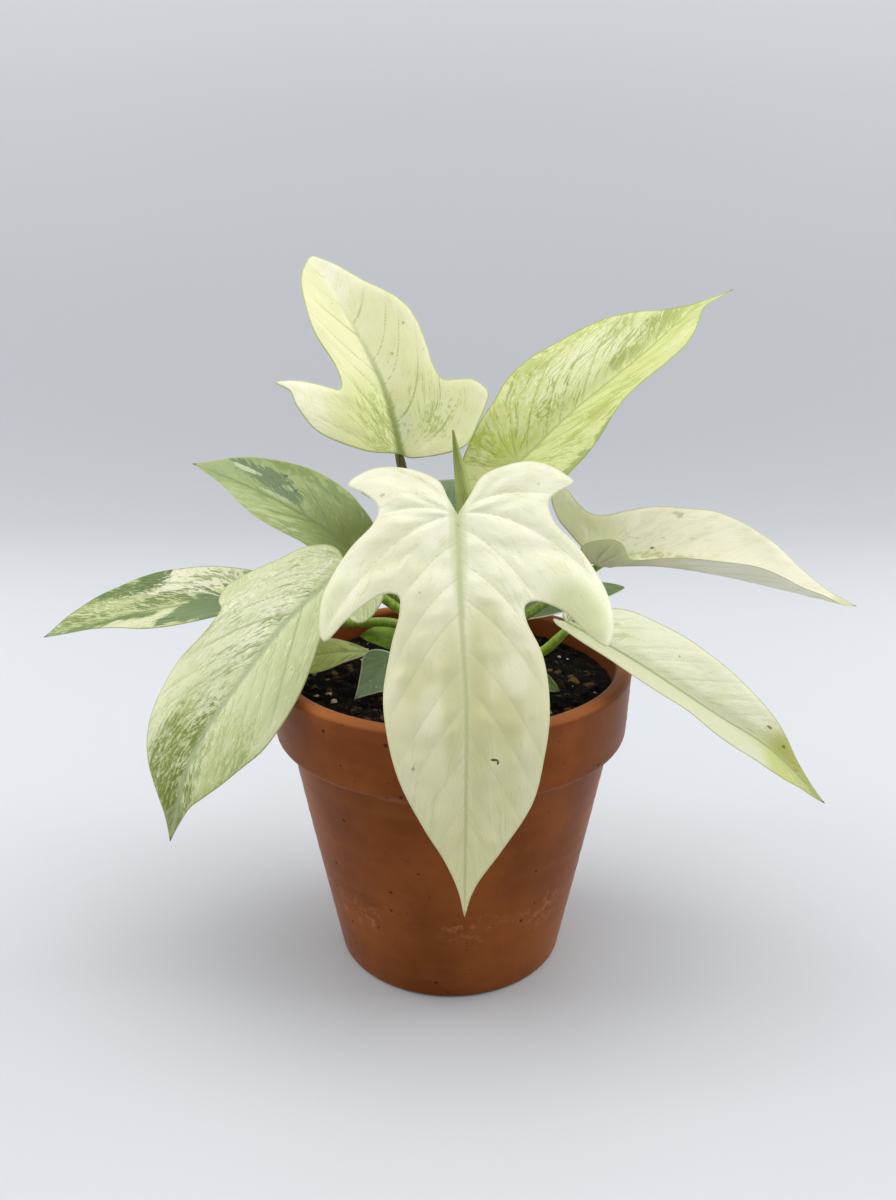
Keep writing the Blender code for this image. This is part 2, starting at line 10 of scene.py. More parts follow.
import bmesh
import bpy
import numpy as np
from mathutils import Matrix, Vector
from mathutils.geometry import delaunay_2d_cdt


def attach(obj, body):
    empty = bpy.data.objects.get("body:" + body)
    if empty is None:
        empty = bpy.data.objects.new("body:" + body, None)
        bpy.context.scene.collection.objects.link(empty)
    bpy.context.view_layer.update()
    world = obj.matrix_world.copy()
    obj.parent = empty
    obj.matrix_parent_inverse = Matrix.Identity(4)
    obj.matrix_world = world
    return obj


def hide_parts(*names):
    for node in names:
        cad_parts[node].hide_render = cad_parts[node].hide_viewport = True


bl_info = {
    "name": "Florida ghost philodendron",
    "version": (1, 0, 0),
    "blender": (4, 5, 0),
    "location": "3D View > Sidebar > Plant",
    "description": "Dresses the solids of a potted philodendron with leaves, clay and soil",
    "category": "Add Mesh",
}

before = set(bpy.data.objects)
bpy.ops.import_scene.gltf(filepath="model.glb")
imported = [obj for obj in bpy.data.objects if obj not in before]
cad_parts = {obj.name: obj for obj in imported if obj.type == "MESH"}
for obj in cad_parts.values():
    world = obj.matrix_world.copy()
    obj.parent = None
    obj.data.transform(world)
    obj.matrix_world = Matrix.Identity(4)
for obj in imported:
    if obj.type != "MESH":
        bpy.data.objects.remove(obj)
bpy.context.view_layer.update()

MM = 0.001

# The clay pot, as its solid has it, mm
POT_HEIGHT = 115.0
RIM_RADIUS = 65.0
RIM_LOW_RADIUS = 64.1
RIM_LOW = 88.5
RIM_WALL = 6.0
RIM_ROUND = 3.7
LIP = 2.2
BODY_TOP_RADIUS = 59.0
BASE_RADIUS = 42.5
BASE_ROUND = 2.0
BODY_WALL = 6.0
LEDGE_RISE = 5.0
LEDGE_DROP = 4.0
LEDGE_SETBACK = 1.2
FLOOR = 7.0
FLOOR_ROUND = 5.0
DRAIN_RADIUS = 9.0
DRAIN_BEVEL = 1.5
POT_STEP = 1.6  # between the points of its outline

# The soil, mm
SOIL_TOP = 106.5
SOIL_DOME = 1.0
SOIL_FOOT = 8.0
SOIL_WALL_GAP = 0.5
SOIL_RINGS = 84
SOIL_SIDES = 320

# The stem and the rolled new leaf, mm
STEM_RADIUS = 5.0
STEM_FOOT = 72.0
STEM_TOP = 136.0
STEM_CROWN = 0.45
STEM_JOINTS = 4
STEM_SWELL = 0.7
STEM_STEPS = 90
STEM_SIDES = 48
SPEAR_ROUTE = ((0.3, -0.8, 137.5), (1.2, -4.5, 152.0), (4.5, -11.0, 172.0), (0.7, -13.0, 198.5))
SPEAR_RADII = (2.4, 2.8, 3.1, 0.35)
SPEAR_STEPS = 120
SPEAR_SIDES = 40

# The leaves, mm
BLADE = 0.8
KEEL = 3.0  # the V of a blade opens over this width beside the midrib
RIB_STEPS = 64
CURL_STEPS = 20
ROUTE_STEPS = 24
RIB_ROWS = (0.0, 0.45, 0.9, 1.35, 1.9)  # rows of points beside the midrib
HEXAGON_ROW = 0.866  # from one row of a hexagonal grid to the next, as a share of its step
BEHIND = 16  # no blade reaches further back than this from where its midrib starts
SMALL_LEAF_GRID = 0.8  # as a share of the other leaves'
SEED_STEP = 13.7
STALK_STEPS = 60
STALK_TIP_RADIUS = 1.5
STALK_REACH = 2.5
STALK_GAP = 0.3
CROWN_LEAN = 2.76  # degrees by which the leaves below are leant back as one
CROWN_PIVOT = (0.0, 8.3, 75.1)

# What is strewn on the soil: the least and greatest radius and the depth to which it sinks, mm, how flat
# and how long a piece is, how finely it is divided, its darker and lighter tone, and its grain's fineness
GRIT = {
    "soil_crumbs": (0.3, 0.9, 0.1, 0.8, 1.0, 1, (8, 6, 5), (72, 54, 32), 0.8),
    "bark_chips": (0.5, 1.8, 0.2, 0.45, 1.6, 2, (26, 18, 10), (118, 88, 48), 1.0),
    "perlite": (0.25, 1.25, 0.1, 0.75, 1.15, 2, (150, 136, 96), (240, 234, 214), 0.9),
}
GRIT_MARGIN = 3.2
GRIT_CELLS = 52
GRIT_CREASE = 35  # degrees

# The floor and the backdrop that it curves up into, mm
SWEEP_WIDTH = 2600.0
SWEEP_FRONT = -1600.0
SWEEP_FLAT = 420.0
SWEEP_BEND = 620.0  # the middle of the bend
SWEEP_RADIUS = 420.0
SWEEP_TOP = 1900.0
SWEEP_STEPS = 24

# The lamps and the camera, m and degrees
TOP_LAMP = (0.0, -0.05, 1.25)
TOP_LAMP_SIZE = (1.3, 1.1)
SIDE_LAMP = (0.95, 0.20, 0.55)
SIDE_LAMP_TURN = 68  # towards the pot, from straight down
SIDE_LAMP_SIZE = (0.8, 0.9)
SKY_COLOUR = (250, 251, 255)
CAMERA_PLACE = (-0.001, -0.374, 0.2611)
CAMERA_TILT = 18.33  # below level
CAMERA_LENS = 33.0  # mm
CAMERA_FILM = 36  # mm high

# Each blade: the midrib's route from the stalk to the tip, and the way that the upper face looks at the
# stalk and at the tip. fold holds the angles in degrees by which the left and right halves rise, tip_fold
# the same at the tip where it differs, and curl those by which they curl over 10 mm. sinus is where the
# blade starts along the midrib. Then comes each half's outline as (along the midrib, out from it): seen on
# the upper face with the tip ahead, right is right. stalk is the leaf stalk's route up to the blade, and
# stem_z is the height at which it leaves the stem.
LEAVES = {
    "front": {
        "midrib": ((2, -40, 175), (3, -58, 148), (4.5, -70, 125), (4.5, -78, 104), (4, -88, 61)),
        "face": ((0, -0.8, 0.6), (0, -1, 0.15)),
        "fold": (12, 12), "curl": (-8, -8), "sinus": 0,
        "left": ((-6, 4), (-13, 9), (-17, 20), (-17, 28), (-14, 35), (-11, 38), (-7, 32), (-3, 29),
                 (4, 31), (12, 39), (24, 47), (36, 49), (45, 46), (41, 39), (34, 33), (30, 25),
                 (31, 20), (37, 20), (48, 24), (62, 25), (76, 23.5), (90, 20), (104, 11.2),
                 (113, 4.8), (119, 1.7)),
        "right": ((-6, 3), (-12, 6), (-16, 15), (-17, 25), (-15, 32), (-12, 35), (-8, 29), (-3, 25),
                  (3, 27), (11, 35), (23, 43), (34, 45), (38, 43), (33, 36), (29, 30), (26, 24),
                  (27, 19), (33, 19), (42, 22), (56, 25), (70, 24), (84, 20), (98, 12.6),
                  (108, 6.2), (117, 2.0)),
        "stalk": ((0, -4, 128), (1, -14, 149), (1.5, -29, 168)), "stem_z": 125,
    },
    "upper_left": {
        "midrib": ((-17, -10, 190), (-23, -4, 212), (-34, 4, 233), (-48, 14, 255)),
        "face": ((0.45, -1, 0.3), (0.45, -1, 0.3)),
        "fold": (14, 14), "curl": (-4, -4), "sinus": 0,
        "left": ((1, 4), (3, 13), (9, 25), (15, 30.5), (24, 33), (31, 33), (36, 36), (34, 29),
                 (28, 20), (26, 17), (28, 15), (36, 14), (49, 15), (61, 12), (70, 8), (75, 3)),
        "right": ((-2, 3), (-3, 10), (-3, 18), (-1, 24.5), (6, 30), (11, 34), (15, 36), (19, 32),
                  (20, 26), (21, 21), (25, 19.5), (33, 20.5), (42, 21), (50, 18.5), (60, 11.5),
                  (69, 6.5), (75, 2)),
        "stalk": ((-3, 0, 132), (-8, 1, 150), (-14, -3, 172)), "stem_z": 130,
    },
    "upper_right": {
        "midrib": ((24, 4, 185), (44, 15, 202), (70, 28, 221), (89, 37, 236), (105, 42, 244)),
        "face": ((0.2, -0.5, 0.8), (-0.2, -0.2, 0.9)),
        "fold": (30, 26), "curl": (-6, -4), "sinus": 0,
        "left": ((-5, 2), (-15, 2.5), (-22, 5.5), (-21, 10), (-14, 14.5), (0, 20), (10, 22), (20, 25),
                 (32, 26), (44, 25), (56, 24), (66, 21), (75, 15.5), (83, 8.5), (91, 3.5), (100, 1.2)),
        "right": ((-4, 3), (-13, 7), (-18, 13), (-16, 19), (-8, 21), (5, 20.5), (14, 21), (25, 20),
                  (38, 17.5), (50, 16.5), (59, 18), (68, 19), (76, 17), (84, 12), (92, 6), (100, 2)),
        "stalk": ((3, 1, 133), (8, 3, 152), (17, 4, 174)), "stem_z": 131,
    },
    "right": {
        "midrib": ((53, 6, 148.5), (75, 8, 148), (98, 10, 144), (123, 12, 137.5), (153, 16, 129)),
        "face": ((0, -0.45, 0.9), (0, -0.45, 0.9)),
        "fold": (40, 64), "tip_fold": (40, 46), "curl": (-6, 0), "sinus": -1,
        "left": ((-3, 3), (-6, 7), (-9, 11), (-13, 17), (-15, 25), (-13, 29), (-9, 29), (-6, 24),
                 (-2, 19.5), (4, 18), (13, 20), (22, 22), (33, 23), (43, 24), (52, 22), (60, 19),
                 (69, 15.5), (79, 9.5), (89, 4.5), (97, 2)),
        "right": ((-3, 2.5), (-7, 8), (-9, 15), (-8, 20), (-4, 22.5), (1, 23), (5, 20), (8, 13),
                  (11, 6.5), (17, 5.5), (25, 8.5), (33, 13), (42, 17), (53, 20), (64, 17), (76, 10),
                  (88, 6), (97, 2)),
        "stalk": ((4, 0, 121), (22, 0, 127), (41, 3, 139)), "stem_z": 119,
    },
    "lower_right": {
        "midrib": ((43, -19, 131.5), (64, -27, 121), (90, -34, 105), (108, -38, 94), (126, -44, 77)),
        "face": ((0.3, -0.3, 0.9), (0.1, -0.65, 0.8)),
        "fold": (30, 30), "curl": (-6, -6), "sinus": -4,
        "left": ((-6, 2), (-5.5, 5), (0, 11), (7, 15), (13, 17.5), (24, 18.5), (33, 19), (43, 18),
                 (52, 17), (62, 15), (70, 12), (78, 8), (86, 4), (95, 1.5)),
        "right": ((-6.5, 3), (-7, 8), (-6, 13), (-3, 17), (3, 19), (9, 19.5), (16, 18), (25, 16),
                  (37, 14.5), (46, 13.5), (56, 15), (66, 16), (76, 13.5), (85, 8.5), (92, 4.5),
                  (98, 2)),
        "stalk": ((4, -2, 114), (18, -6, 117), (31, -12, 119.5)), "stem_z": 113,
    },
    "lower_left": {
        "midrib": ((-36, -8, 151), (-54, -19, 136), (-72, -32, 115), (-87, -42, 92), (-95, -46, 64)),
        "face": ((-0.4, -0.6, 0.7), (-0.6, -0.8, 0.1)),
        "fold": (12, 12), "curl": (-6, -6), "sinus": 0,
        "left": ((-2, 4), (-4, 11), (-2, 18), (2, 24), (7, 26.5), (12, 27), (15, 25), (16, 21),
                 (20, 18), (27, 18), (36, 22), (46, 25), (58, 26.5), (69, 26), (78, 22.5), (87, 18),
                 (94, 12.5), (101, 6), (109, 2)),
        "right": ((-1, 4), (-2, 8), (-1, 13), (3, 18), (8, 21.5), (14, 24), (20, 27.5), (26, 31),
                  (31, 33), (36, 31), (38, 27), (42, 26), (50, 26), (60, 27.5), (70, 27), (79, 25),
                  (87, 21), (94, 16), (101, 10), (107, 5), (112, 2)),
        "stalk": ((-4, -3, 125), (-12, -8, 130), (-21, -10.5, 137.5)), "stem_z": 123,
    },
    "far_left": {
        "midrib": ((-67, 6, 134), (-93, 7, 132.5), (-118, 10, 127.5), (-153, 12, 118)),
        "face": ((0, -0.3, 0.95), (0, -0.3, 0.95)),
        "fold": (18, 18), "curl": (-4, -4), "sinus": 0,
        "left": ((-1, 3), (1, 7), (6, 9.5), (13, 13.5), (20, 18), (28, 20), (36, 19.5), (44, 17.5),
                 (52, 14), (60, 9.5), (68, 5), (78, 2)),
        "right": ((-2, 3), (-3, 9), (1, 14), (9, 16.5), (18, 18), (26, 19.5), (36, 20.5), (45, 21),
                  (53, 20), (60, 18), (67, 15.5), (74, 11), (80, 7), (85, 3)),
        "stalk": ((-4, 0, 118), (-19.5, -2, 127.5), (-39, 2, 126.5), (-58, 5, 128.5)), "stem_z": 116,
    },
    "mid_left": {
        "midrib": ((-34, 16, 148), (-49, 21, 159), (-73, 31, 170), (-100, 42, 179)),
        "face": ((-0.1, -0.35, 0.9), (-0.1, -0.35, 0.9)),
        "fold": (14, 14), "curl": (-4, -4), "sinus": 0,
        "left": ((-1, 4), (3, 9), (10, 13), (20, 13.5), (31, 15), (39, 15), (46, 13), (54, 9),
                 (61, 5.5), (69, 2.5)),
        "right": ((-2, 4), (0, 11), (6, 15), (13, 17.5), (20, 20), (29, 21), (38, 21), (46, 19.5),
                  (54, 16.5), (62, 12.5), (70, 6.5), (75, 2.5)),
        "stalk": ((-3, 3, 121), (-12, 8, 129), (-28, 13, 139)), "stem_z": 119,
    },
    "back": {
        "midrib": ((-4, 23, 166), (-5, 42, 172), (-6, 63, 165), (-6, 86, 143)),
        "face": ((0, -0.2, 1), (0, 0.6, 0.8)),
        "fold": (8, 8), "curl": (-10, -10), "sinus": 0,
        "left": ((-4, 3), (-11, 7), (-14, 14), (-11, 20), (-3, 21.5), (5, 23), (13, 28), (19, 30),
                 (21, 25), (23, 19), (31, 18), (43, 19), (55, 15.5), (65, 9), (71, 4.2)),
        "right": ((-4, 3), (-11, 7), (-14, 13), (-12, 19), (-4, 22), (4, 23), (12, 27), (18, 30),
                  (21, 26), (22, 19), (30, 17), (42, 18.5), (54, 16), (65, 8.5), (71, 4)),
        "stalk": ((0, 3, 131), (-1, 8, 145), (-3, 16, 158)), "stem_z": 129,
    },
    "back_right": {
        "midrib": ((16, 18, 134), (36, 34, 132), (54, 44, 129), (71, 52, 127)),
        "face": ((0.1, -0.15, 1), (0.1, -0.05, 1)),
        "fold": (10, -4), "curl": (-6, -10), "sinus": 0,
        "left": ((-3, 3), (-8, 7), (-9, 13), (-3, 17), (8, 18), (20, 18), (32, 16), (44, 12),
                 (54, 7), (63, 3)),
        "right": ((-3, 3), (-8, 7), (-9, 13), (-3, 17), (8, 18.5), (20, 18), (32, 16), (44, 12),
                  (54, 7.5), (63, 3)),
        "stalk": ((3, 3, 122), (7, 7, 126), (12, 13, 130)), "stem_z": 120,
    },
    "small_left": {
        "midrib": ((-28, -10, 119.5), (-42, -12, 120), (-60, -14, 117)),
        "face": ((0, -0.5, 0.85), (0, -0.5, 0.85)),
        "fold": (10, 10), "curl": (-6, -6), "sinus": 0,
        "left": ((3, 2), (9, 5), (17, 8), (24, 8), (29, 4.5)),
        "right": ((3, 2), (9, 4.5), (17, 7), (24, 7.5), (29, 4.5)),
        "stalk": ((-4, -2, 112), (-12, -5, 114), (-22, -8, 116)), "stem_z": 111,
    },
    "small_front": {
        "midrib": ((-19, -24, 122), (-26, -27.5, 116), (-33, -30, 109)),
        "face": ((-0.3, -0.8, 0.5), (-0.3, -0.8, 0.5)),
        "fold": (8, 8), "curl": (-6, -6), "sinus": 0,
        "left": ((0, 3), (4, 6.5), (9, 7), (13, 4.5), (17, 1.8)),
        "right": ((0, 3), (3, 7.5), (7, 8.5), (12, 5), (17, 1.6)),
        "stalk": ((-1, -4.5, 112), (-7, -12, 114), (-14, -18, 117)), "stem_z": 111.5,
    },
    "small_back": {
        "midrib": ((-16, 2, 118), (-24, 1, 122), (-33, -1, 122.5)),
        "face": ((0, -0.6, 0.8), (0, -0.6, 0.8)),
        "fold": (6, 6), "curl": (-6, -6), "sinus": 0,
        "left": ((0, 2.5), (5, 5), (10, 5.5), (15, 3)),
        "right": ((0, 2.5), (5, 4.5), (10, 4.5), (15, 2.5)),
        "stalk": ((-4, 3, 112), (-8, 4, 112.5), (-12, 3.5, 114)), "stem_z": 111,
    },
    "small_right": {
        "midrib": ((16, -20, 114), (26, -25, 116), (37, -30, 112)),
        "face": ((0.1, -0.4, 0.9), (0.1, -0.4, 0.9)),
        "fold": (8, 8), "curl": (-8, -8), "sinus": 0,
        "left": ((0, 3), (5, 6), (11, 6.5), (17, 4.5), (22, 2)),
        "right": ((0, 3), (5, 6), (11, 6.5), (17, 4.5), (22, 2)),
        "stalk": ((2, -4, 112), (6, -10, 111), (12, -16, 110.5)), "stem_z": 112,
    },
}

# How each blade is veined: the space between the main veins along the midrib, their lean towards the tip
# at the base on the left and on the right, what it gains with each mm along, how much they bend, the angle
# between those of the lobes, where the first one starts, and how deeply the blade is quilted
VEINS = {
    "front": (13.5, 0.40, 0.45, 0.010, 0.027, 34, 0.45, 1.9),
    "upper_left": (12.5, 1.30, 0.25, 0.004, 0.060, 26, 0.20, 0.45),
    "upper_right": (9.5, 0.80, 1.60, 0.010, 0.035, 28, 0.20, 0.30),
    "right": (12.0, 0.95, 0.95, 0.006, 0.018, 30, 0.50, 0.45),
    "lower_right": (11.0, 1.10, 1.30, 0.006, 0.022, 30, 0.10, 0.45),
    "lower_left": (11.0, 0.95, 0.45, 0.012, 0.022, 30, 0.60, 0.55),
    "far_left": (11.0, 0.90, 1.80, 0.012, 0.030, 30, 0.40, 0.40),
    "mid_left": (11.0, 1.20, 1.00, 0.030, 0.020, 30, 0.70, 0.40),
    "back": (11.0, 0.70, 0.70, 0.010, 0.012, 30, 0.20, 0.6),
    "back_right": (10.0, 0.90, 0.90, 0.006, 0.016, 30, 0.50, 0.6),
    "small_left": (6.5, 1.00, 1.00, 0.0, 0.020, 34, 0.30, 0.3),
    "small_front": (5.0, 1.00, 1.00, 0.0, 0.020, 34, 0.20, 0.3),
    "small_back": (5.0, 1.00, 1.00, 0.0, 0.020, 34, 0.40, 0.3),
    "small_right": (5.5, 1.00, 1.00, 0.0, 0.020, 34, 0.10, 0.3),
}

# How each blade is coloured, from 0 to 255. base and tint are its two grounds and mix says how much of the
# tint shows. A stain is (along, across, half length, half width, colour, grain, cover, softness, strength):
# an oval that fades outwards from its middle, or the whole blade where its half length is 0. Most stains
# are the blade's own colour; some are painted shade and painted highlights of the blade's curves, each
# marked where it stands. The grain's marks take up half of its middle at a cover of 0.5, and it is a solid
# patch above 1. The grains run from plain, which has no marks, and blotch, fleck and mottle to line, which
# follows
# the veins. rib is the band by the midrib: colour, half width at the stalk and at the tip, strength at the
# stalk and at the tip. A strength below 0 at the tip means that it has faded before. vein is a colour and a
# strength, edge is the margin: colour, width, strength. specks are a colour and how many there are, tip is
# how brown the tip is, and stalk is the stalk's darker and lighter tone.
FINISH = {
    "front": {
        "base": (246, 244, 216), "tint": (240, 239, 206), "mix": 0.45,
        "stains_and_shading": (
            # painted shade: a darker patch on the right half, where less light falls
            (26, 20, 34, 17, (228, 227, 190), "plain", 1.1, 2.5, 0.7),
            # painted shade: darker and greener towards the lower blade, where the arched blade gets less
            # light
            (90, 0, 76, 46, (221, 219, 174), "plain", 1.2, 2.5, 0.8),
            (116, 0, 36, 18, (216, 213, 158), "plain", 1.1, 2.5, 0.5),
            # painted shade in the creases between the quilted swells
            (66, -12, 15, 8, (198, 197, 136), "plain", 1.1, 3.0, 0.6),
            (84, -12, 20, 9, (206, 205, 148), "plain", 1.0, 3.0, 0.4),
            (37, -8, 15, 8, (208, 207, 152), "plain", 1.1, 3.0, 0.5),
            (53, 15, 13, 8, (206, 205, 150), "plain", 1.1, 3.0, 0.5),
            (37, -36, 22, 16, (202, 206, 152), "plain", 1.1, 2.5, 0.8),
            (28, 42, 22, 12, (224, 225, 180), "plain", 1.0, 2.5, 0.65),
            # painted highlights on the quilted swells
            (53, -15, 9, 6, (242, 240, 208), "plain", 1.1, 2.5, 0.6),
            (40, -20, 9, 5, (240, 238, 206), "plain", 1.1, 3.0, 0.4),
            (63, 11, 11, 6, (240, 238, 206), "plain", 1.1, 3.0, 0.55),
            # painted light: the outer parts of the lower blade, lighter than its middle
            (90, 17, 26, 6, (228, 227, 190), "plain", 1.1, 2.5, 0.5),
            (90, -19, 26, 5, (226, 225, 188), "plain", 1.1, 2.5, 0.5),
            # painted shade in the furrows beside the midrib
            (66, -4, 38, 5, (190, 190, 124), "plain", 1.2, 3.5, 0.5),
            (60, 4, 34, 4.5, (198, 198, 138), "plain", 1.2, 3.5, 0.45),
            (0, 0, 0, 0, (228, 227, 184), "blotch", 0.50, 6.0, 0.4),
            (-7, 24, 1.5, 1.8, (186, 164, 90), "fleck", 0.9, 1.6, 0.6),
            (8, 0, 34, 4.2, (202, 211, 162), "plain", 1.1, 2.6, 0.6),
            (0, 0, 0, 0, (204, 204, 148), "line", 0.46, 1.6, 0.35),
            (98, 0, 60, 34, (196, 196, 130), "line", 0.72, 1.6, 0.34),
            (77.2, -8.4, 0.46, 1.30, (76, 62, 28), "plain", 1.2, 1.2, 0.95),
            (77.9, -9.5, 0.80, 0.42, (76, 62, 28), "plain", 1.2, 1.2, 0.9),
            (80, 16, 0.7, 0.7, (160, 150, 90), "plain", 1.1, 2.0, 0.7),
        ),
        "rib": ((186, 192, 130), 1.1, 0.3, 0.5, 0.75), "vein": ((204, 206, 154), 0.6),
        "edge": ((200, 202, 150), 0.55, 0.6), "specks": ((170, 146, 92), 0.10), "tip": 0.3,
        "stalk": ((126, 156, 44), (166, 190, 80)),
    },
    "upper_left": {
        "base": (248, 246, 216), "tint": (240, 239, 196), "mix": 0.42,
        "stains_and_shading": (
            # painted shade: the left half darker, where it turns away from the light
            (40, -9, 60, 15, (228, 228, 168), "plain", 1.2, 3.5, 0.65),
            (64, -3, 22, 4, (218, 221, 162), "plain", 1.0, 2.5, 0.5),
            (8, -9, 34, 26, (212, 217, 140), "plain", 1.05, 2.5, 0.7),
            (36, 9, 40, 15, (224, 226, 162), "plain", 1.1, 3.0, 0.65),
            (11, 17, 26, 26, (222, 225, 156), "plain", 1.05, 2.5, 0.6),
            (7, -5, 24, 13, (168, 182, 80), "mottle", 0.75, 2.5, 0.7),
            (6, -4, 19, 10, (132, 150, 42), "line", 0.90, 2.6, 0.6),
            (14, -10, 26, 18, (160, 175, 74), "line", 0.75, 2.4, 0.55),
            (11, 12, 16, 15, (172, 186, 86), "mottle", 0.62, 2.2, 0.65),
            (8, 4.5, 10, 5, (214, 223, 180), "mottle", 1.0, 2.0, 0.75),
            (8, 5, 9, 6, (150, 172, 96), "fleck", 0.55, 1.6, 0.45),
            (14, 16, 20, 24, (150, 167, 66), "line", 0.70, 2.0, 0.5),
            (34, 8, 44, 14, (196, 202, 126), "line", 0.52, 2.0, 0.35),
            (0, 0, 0, 0, (208, 212, 146), "line", 0.42, 1.8, 0.35),
            (41, 16, 0.8, 0.7, (160, 152, 80), "plain", 1.1, 2.0, 0.6),
            (33, 7.5, 0.8, 0.7, (160, 152, 80), "plain", 1.1, 2.0, 0.6),
        ),
        "rib": ((128, 144, 60), 1.5, 0.3, 1.0, -0.3), "vein": ((162, 174, 92), 0.85),
        "edge": ((150, 164, 96), 0.5, 0.75), "specks": ((146, 136, 66), 0.12), "tip": 0.0,
        # painted shade: a dark olive-brown stalk, where it stands in shade
        "stalk": ((74, 70, 34), (112, 106, 54)),
    },
    "upper_right": {
        "base": (216, 219, 156), "tint": (202, 207, 134), "mix": 0.5,
        "stains_and_shading": (
            (48, -12, 64, 13, (234, 235, 198), "fleck", 0.86, 2.4, 0.8),
            (50, -24, 70, 8, (176, 188, 92), "mottle", 0.90, 2.0, 0.75),
            (8, -8, 40, 18, (196, 206, 108), "mottle", 0.85, 2.4, 0.8),
            (4, -6, 18, 9, (196, 208, 92), "mottle", 0.66, 2.2, 0.6),
            (-7, -13, 13, 9, (178, 192, 72), "mottle", 0.74, 2.0, 0.75),
            (23, -6, 12, 6, (150, 166, 48), "mottle", 0.90, 1.6, 0.75),
            (57, -4, 12, 3.6, (140, 157, 42), "fleck", 1.0, 1.2, 0.8),
            (84, -5, 18, 6, (150, 165, 58), "fleck", 0.95, 1.4, 0.8),
            (68, -14, 16, 8, (170, 184, 84), "fleck", 0.70, 1.6, 0.7),
            (44, 11, 120, 20, (203, 208, 140), "plain", 1.3, 2.5, 0.6),
            (30, 11, 40, 10, (160, 173, 76), "fleck", 0.80, 1.8, 0.65),
            (80, 8, 26, 9, (178, 190, 100), "fleck", 0.75, 1.8, 0.6),
            (20, 20, 34, 3, (130, 148, 54), "blotch", 1.0, 1.8, 0.7),
            (73, 12, 13, 8, (224, 226, 174), "blotch", 0.9, 2.0, 0.7),
            (0, 0, 0, 0, (152, 168, 62), "line", 0.58, 1.6, 0.6),
            (40, -12, 90, 24, (146, 163, 54), "line", 0.70, 1.8, 0.6),
        ),
        "rib": ((166, 178, 86), 0.6, 0.3, 0.9, 0.6), "vein": ((150, 165, 70), 0.7),
        "edge": ((140, 154, 66), 0.55, 0.8), "specks": ((108, 118, 36), 0.12), "tip": 0.8,
        "stalk": ((96, 122, 36), (140, 164, 70)),
    },
    "right": {
        "base": (234, 231, 206), "tint": (224, 222, 190), "mix": 0.4,
        "stains_and_shading": (
            (66, -8, 44, 13, (240, 237, 216), "plain", 1.0, 2.5, 0.6),
            (-2, -14, 22, 16, (214, 214, 170), "plain", 1.0, 2.5, 0.75),
            # painted light: the underside of the folded right half is lightened where it lies in shade
            (60, 12, 44, 16, (250, 249, 234), "plain", 1.2, 2.0, 0.9),
            (4, 12, 18, 20, (192, 198, 118), "plain", 1.3, 2.0, 0.85),
            (22, -3, 26, 2.6, (176, 186, 122), "mottle", 0.8, 2.0, 0.7),
            (10, -8, 12, 7, (186, 192, 134), "mottle", 0.45, 1.0, 0.6),
            (98, 0, 10, 6, (180, 182, 124), "plain", 1.0, 2.5, 0.7),
            (30, -20, 2.6, 2.0, (176, 176, 128), "blotch", 0.8, 1.2, 0.7),
            (21, -5.6, 1.2, 0.8, (112, 116, 62), "fleck", 0.8, 1.0, 0.9),
            (25, -9.5, 1.4, 1.2, (184, 184, 132), "fleck", 0.7, 1.0, 0.7),
            (36, -11, 1.8, 1.2, (206, 204, 160), "fleck", 0.8, 1.2, 0.7),
            (8, -12, 12, 6, (196, 198, 146), "line", 0.5, 1.0, 0.6),
            (0, 0, 0, 0, (220, 220, 184), "line", 0.36, 1.6, 0.35),
        ),
        "rib": ((190, 198, 144), 0.8, 0.3, 0.7, 0.4), "vein": ((218, 219, 184), 0.4),
        "edge": ((160, 162, 116), 0.5, 0.75), "specks": ((150, 152, 92), 0.14), "tip": 0.6,
        "stalk": ((112, 138, 48), (154, 176, 82)),
    },
    "lower_right": {
        "base": (232, 232, 204), "tint": (222, 223, 188), "mix": 0.5,
        "stains_and_shading": (
            (44, 12, 110, 18, (192, 195, 160), "plain", 1.3, 2.0, 0.85),
            (40, -14, 50, 9, (238, 237, 214), "blotch", 0.75, 2.0, 0.5),
            (38, -2, 50, 6, (184, 196, 142), "line", 0.75, 2.4, 0.6),
            (98, 0, 28, 24, (174, 178, 84), "plain", 1.3, 2.5, 0.9),
            (92, 0, 20, 8, (128, 146, 56), "mottle", 0.80, 2.4, 0.7),
            (80, 0, 20, 11, (172, 182, 98), "mottle", 0.75, 2.4, 0.6),
            (73.5, -6.3, 1.4, 0.7, (104, 112, 56), "plain", 1.0, 1.5, 0.85),
            (80.5, -4, 1.0, 0.8, (112, 120, 60), "plain", 1.0, 1.5, 0.8),
            (-2, -3, 5, 6, (84, 94, 56), "mottle", 0.65, 0.8, 0.85),
            (6, 0, 16, 18, (186, 194, 140), "blotch", 0.8, 1.8, 0.65),
            (0, 0, 0, 0, (188, 196, 146), "line", 0.40, 1.3, 0.45),
        ),
        "rib": ((142, 156, 98), 0.75, 0.3, 0.9, 0.8), "vein": ((184, 193, 140), 0.5),
        "edge": ((158, 160, 104), 0.5, 0.8), "specks": ((112, 124, 72), 0.22), "tip": 0.8,
        "stalk": ((146, 180, 54), (186, 210, 92)),
    },
    "lower_left": {
        "base": (204, 208, 164), "tint": (186, 193, 138), "mix": 0.5,
        "stains_and_shading": (
            (40, -14, 80, 18, (172, 180, 124), "plain", 1.1, 2.5, 0.7),
            (34, 13, 50, 20, (234, 235, 208), "mottle", 0.84, 2.2, 0.75),
            (0, 0, 0, 0, (222, 223, 192), "fleck", 0.38, 1.8, 0.5),
            (66, 6, 15, 6, (232, 233, 206), "fleck", 0.80, 1.4, 0.7),
            (40, 15, 60, 10, (164, 176, 112), "mottle", 0.60, 2.0, 0.6),
            (84, -13, 44, 18, (156, 168, 88), "mottle", 0.85, 2.6, 0.75),
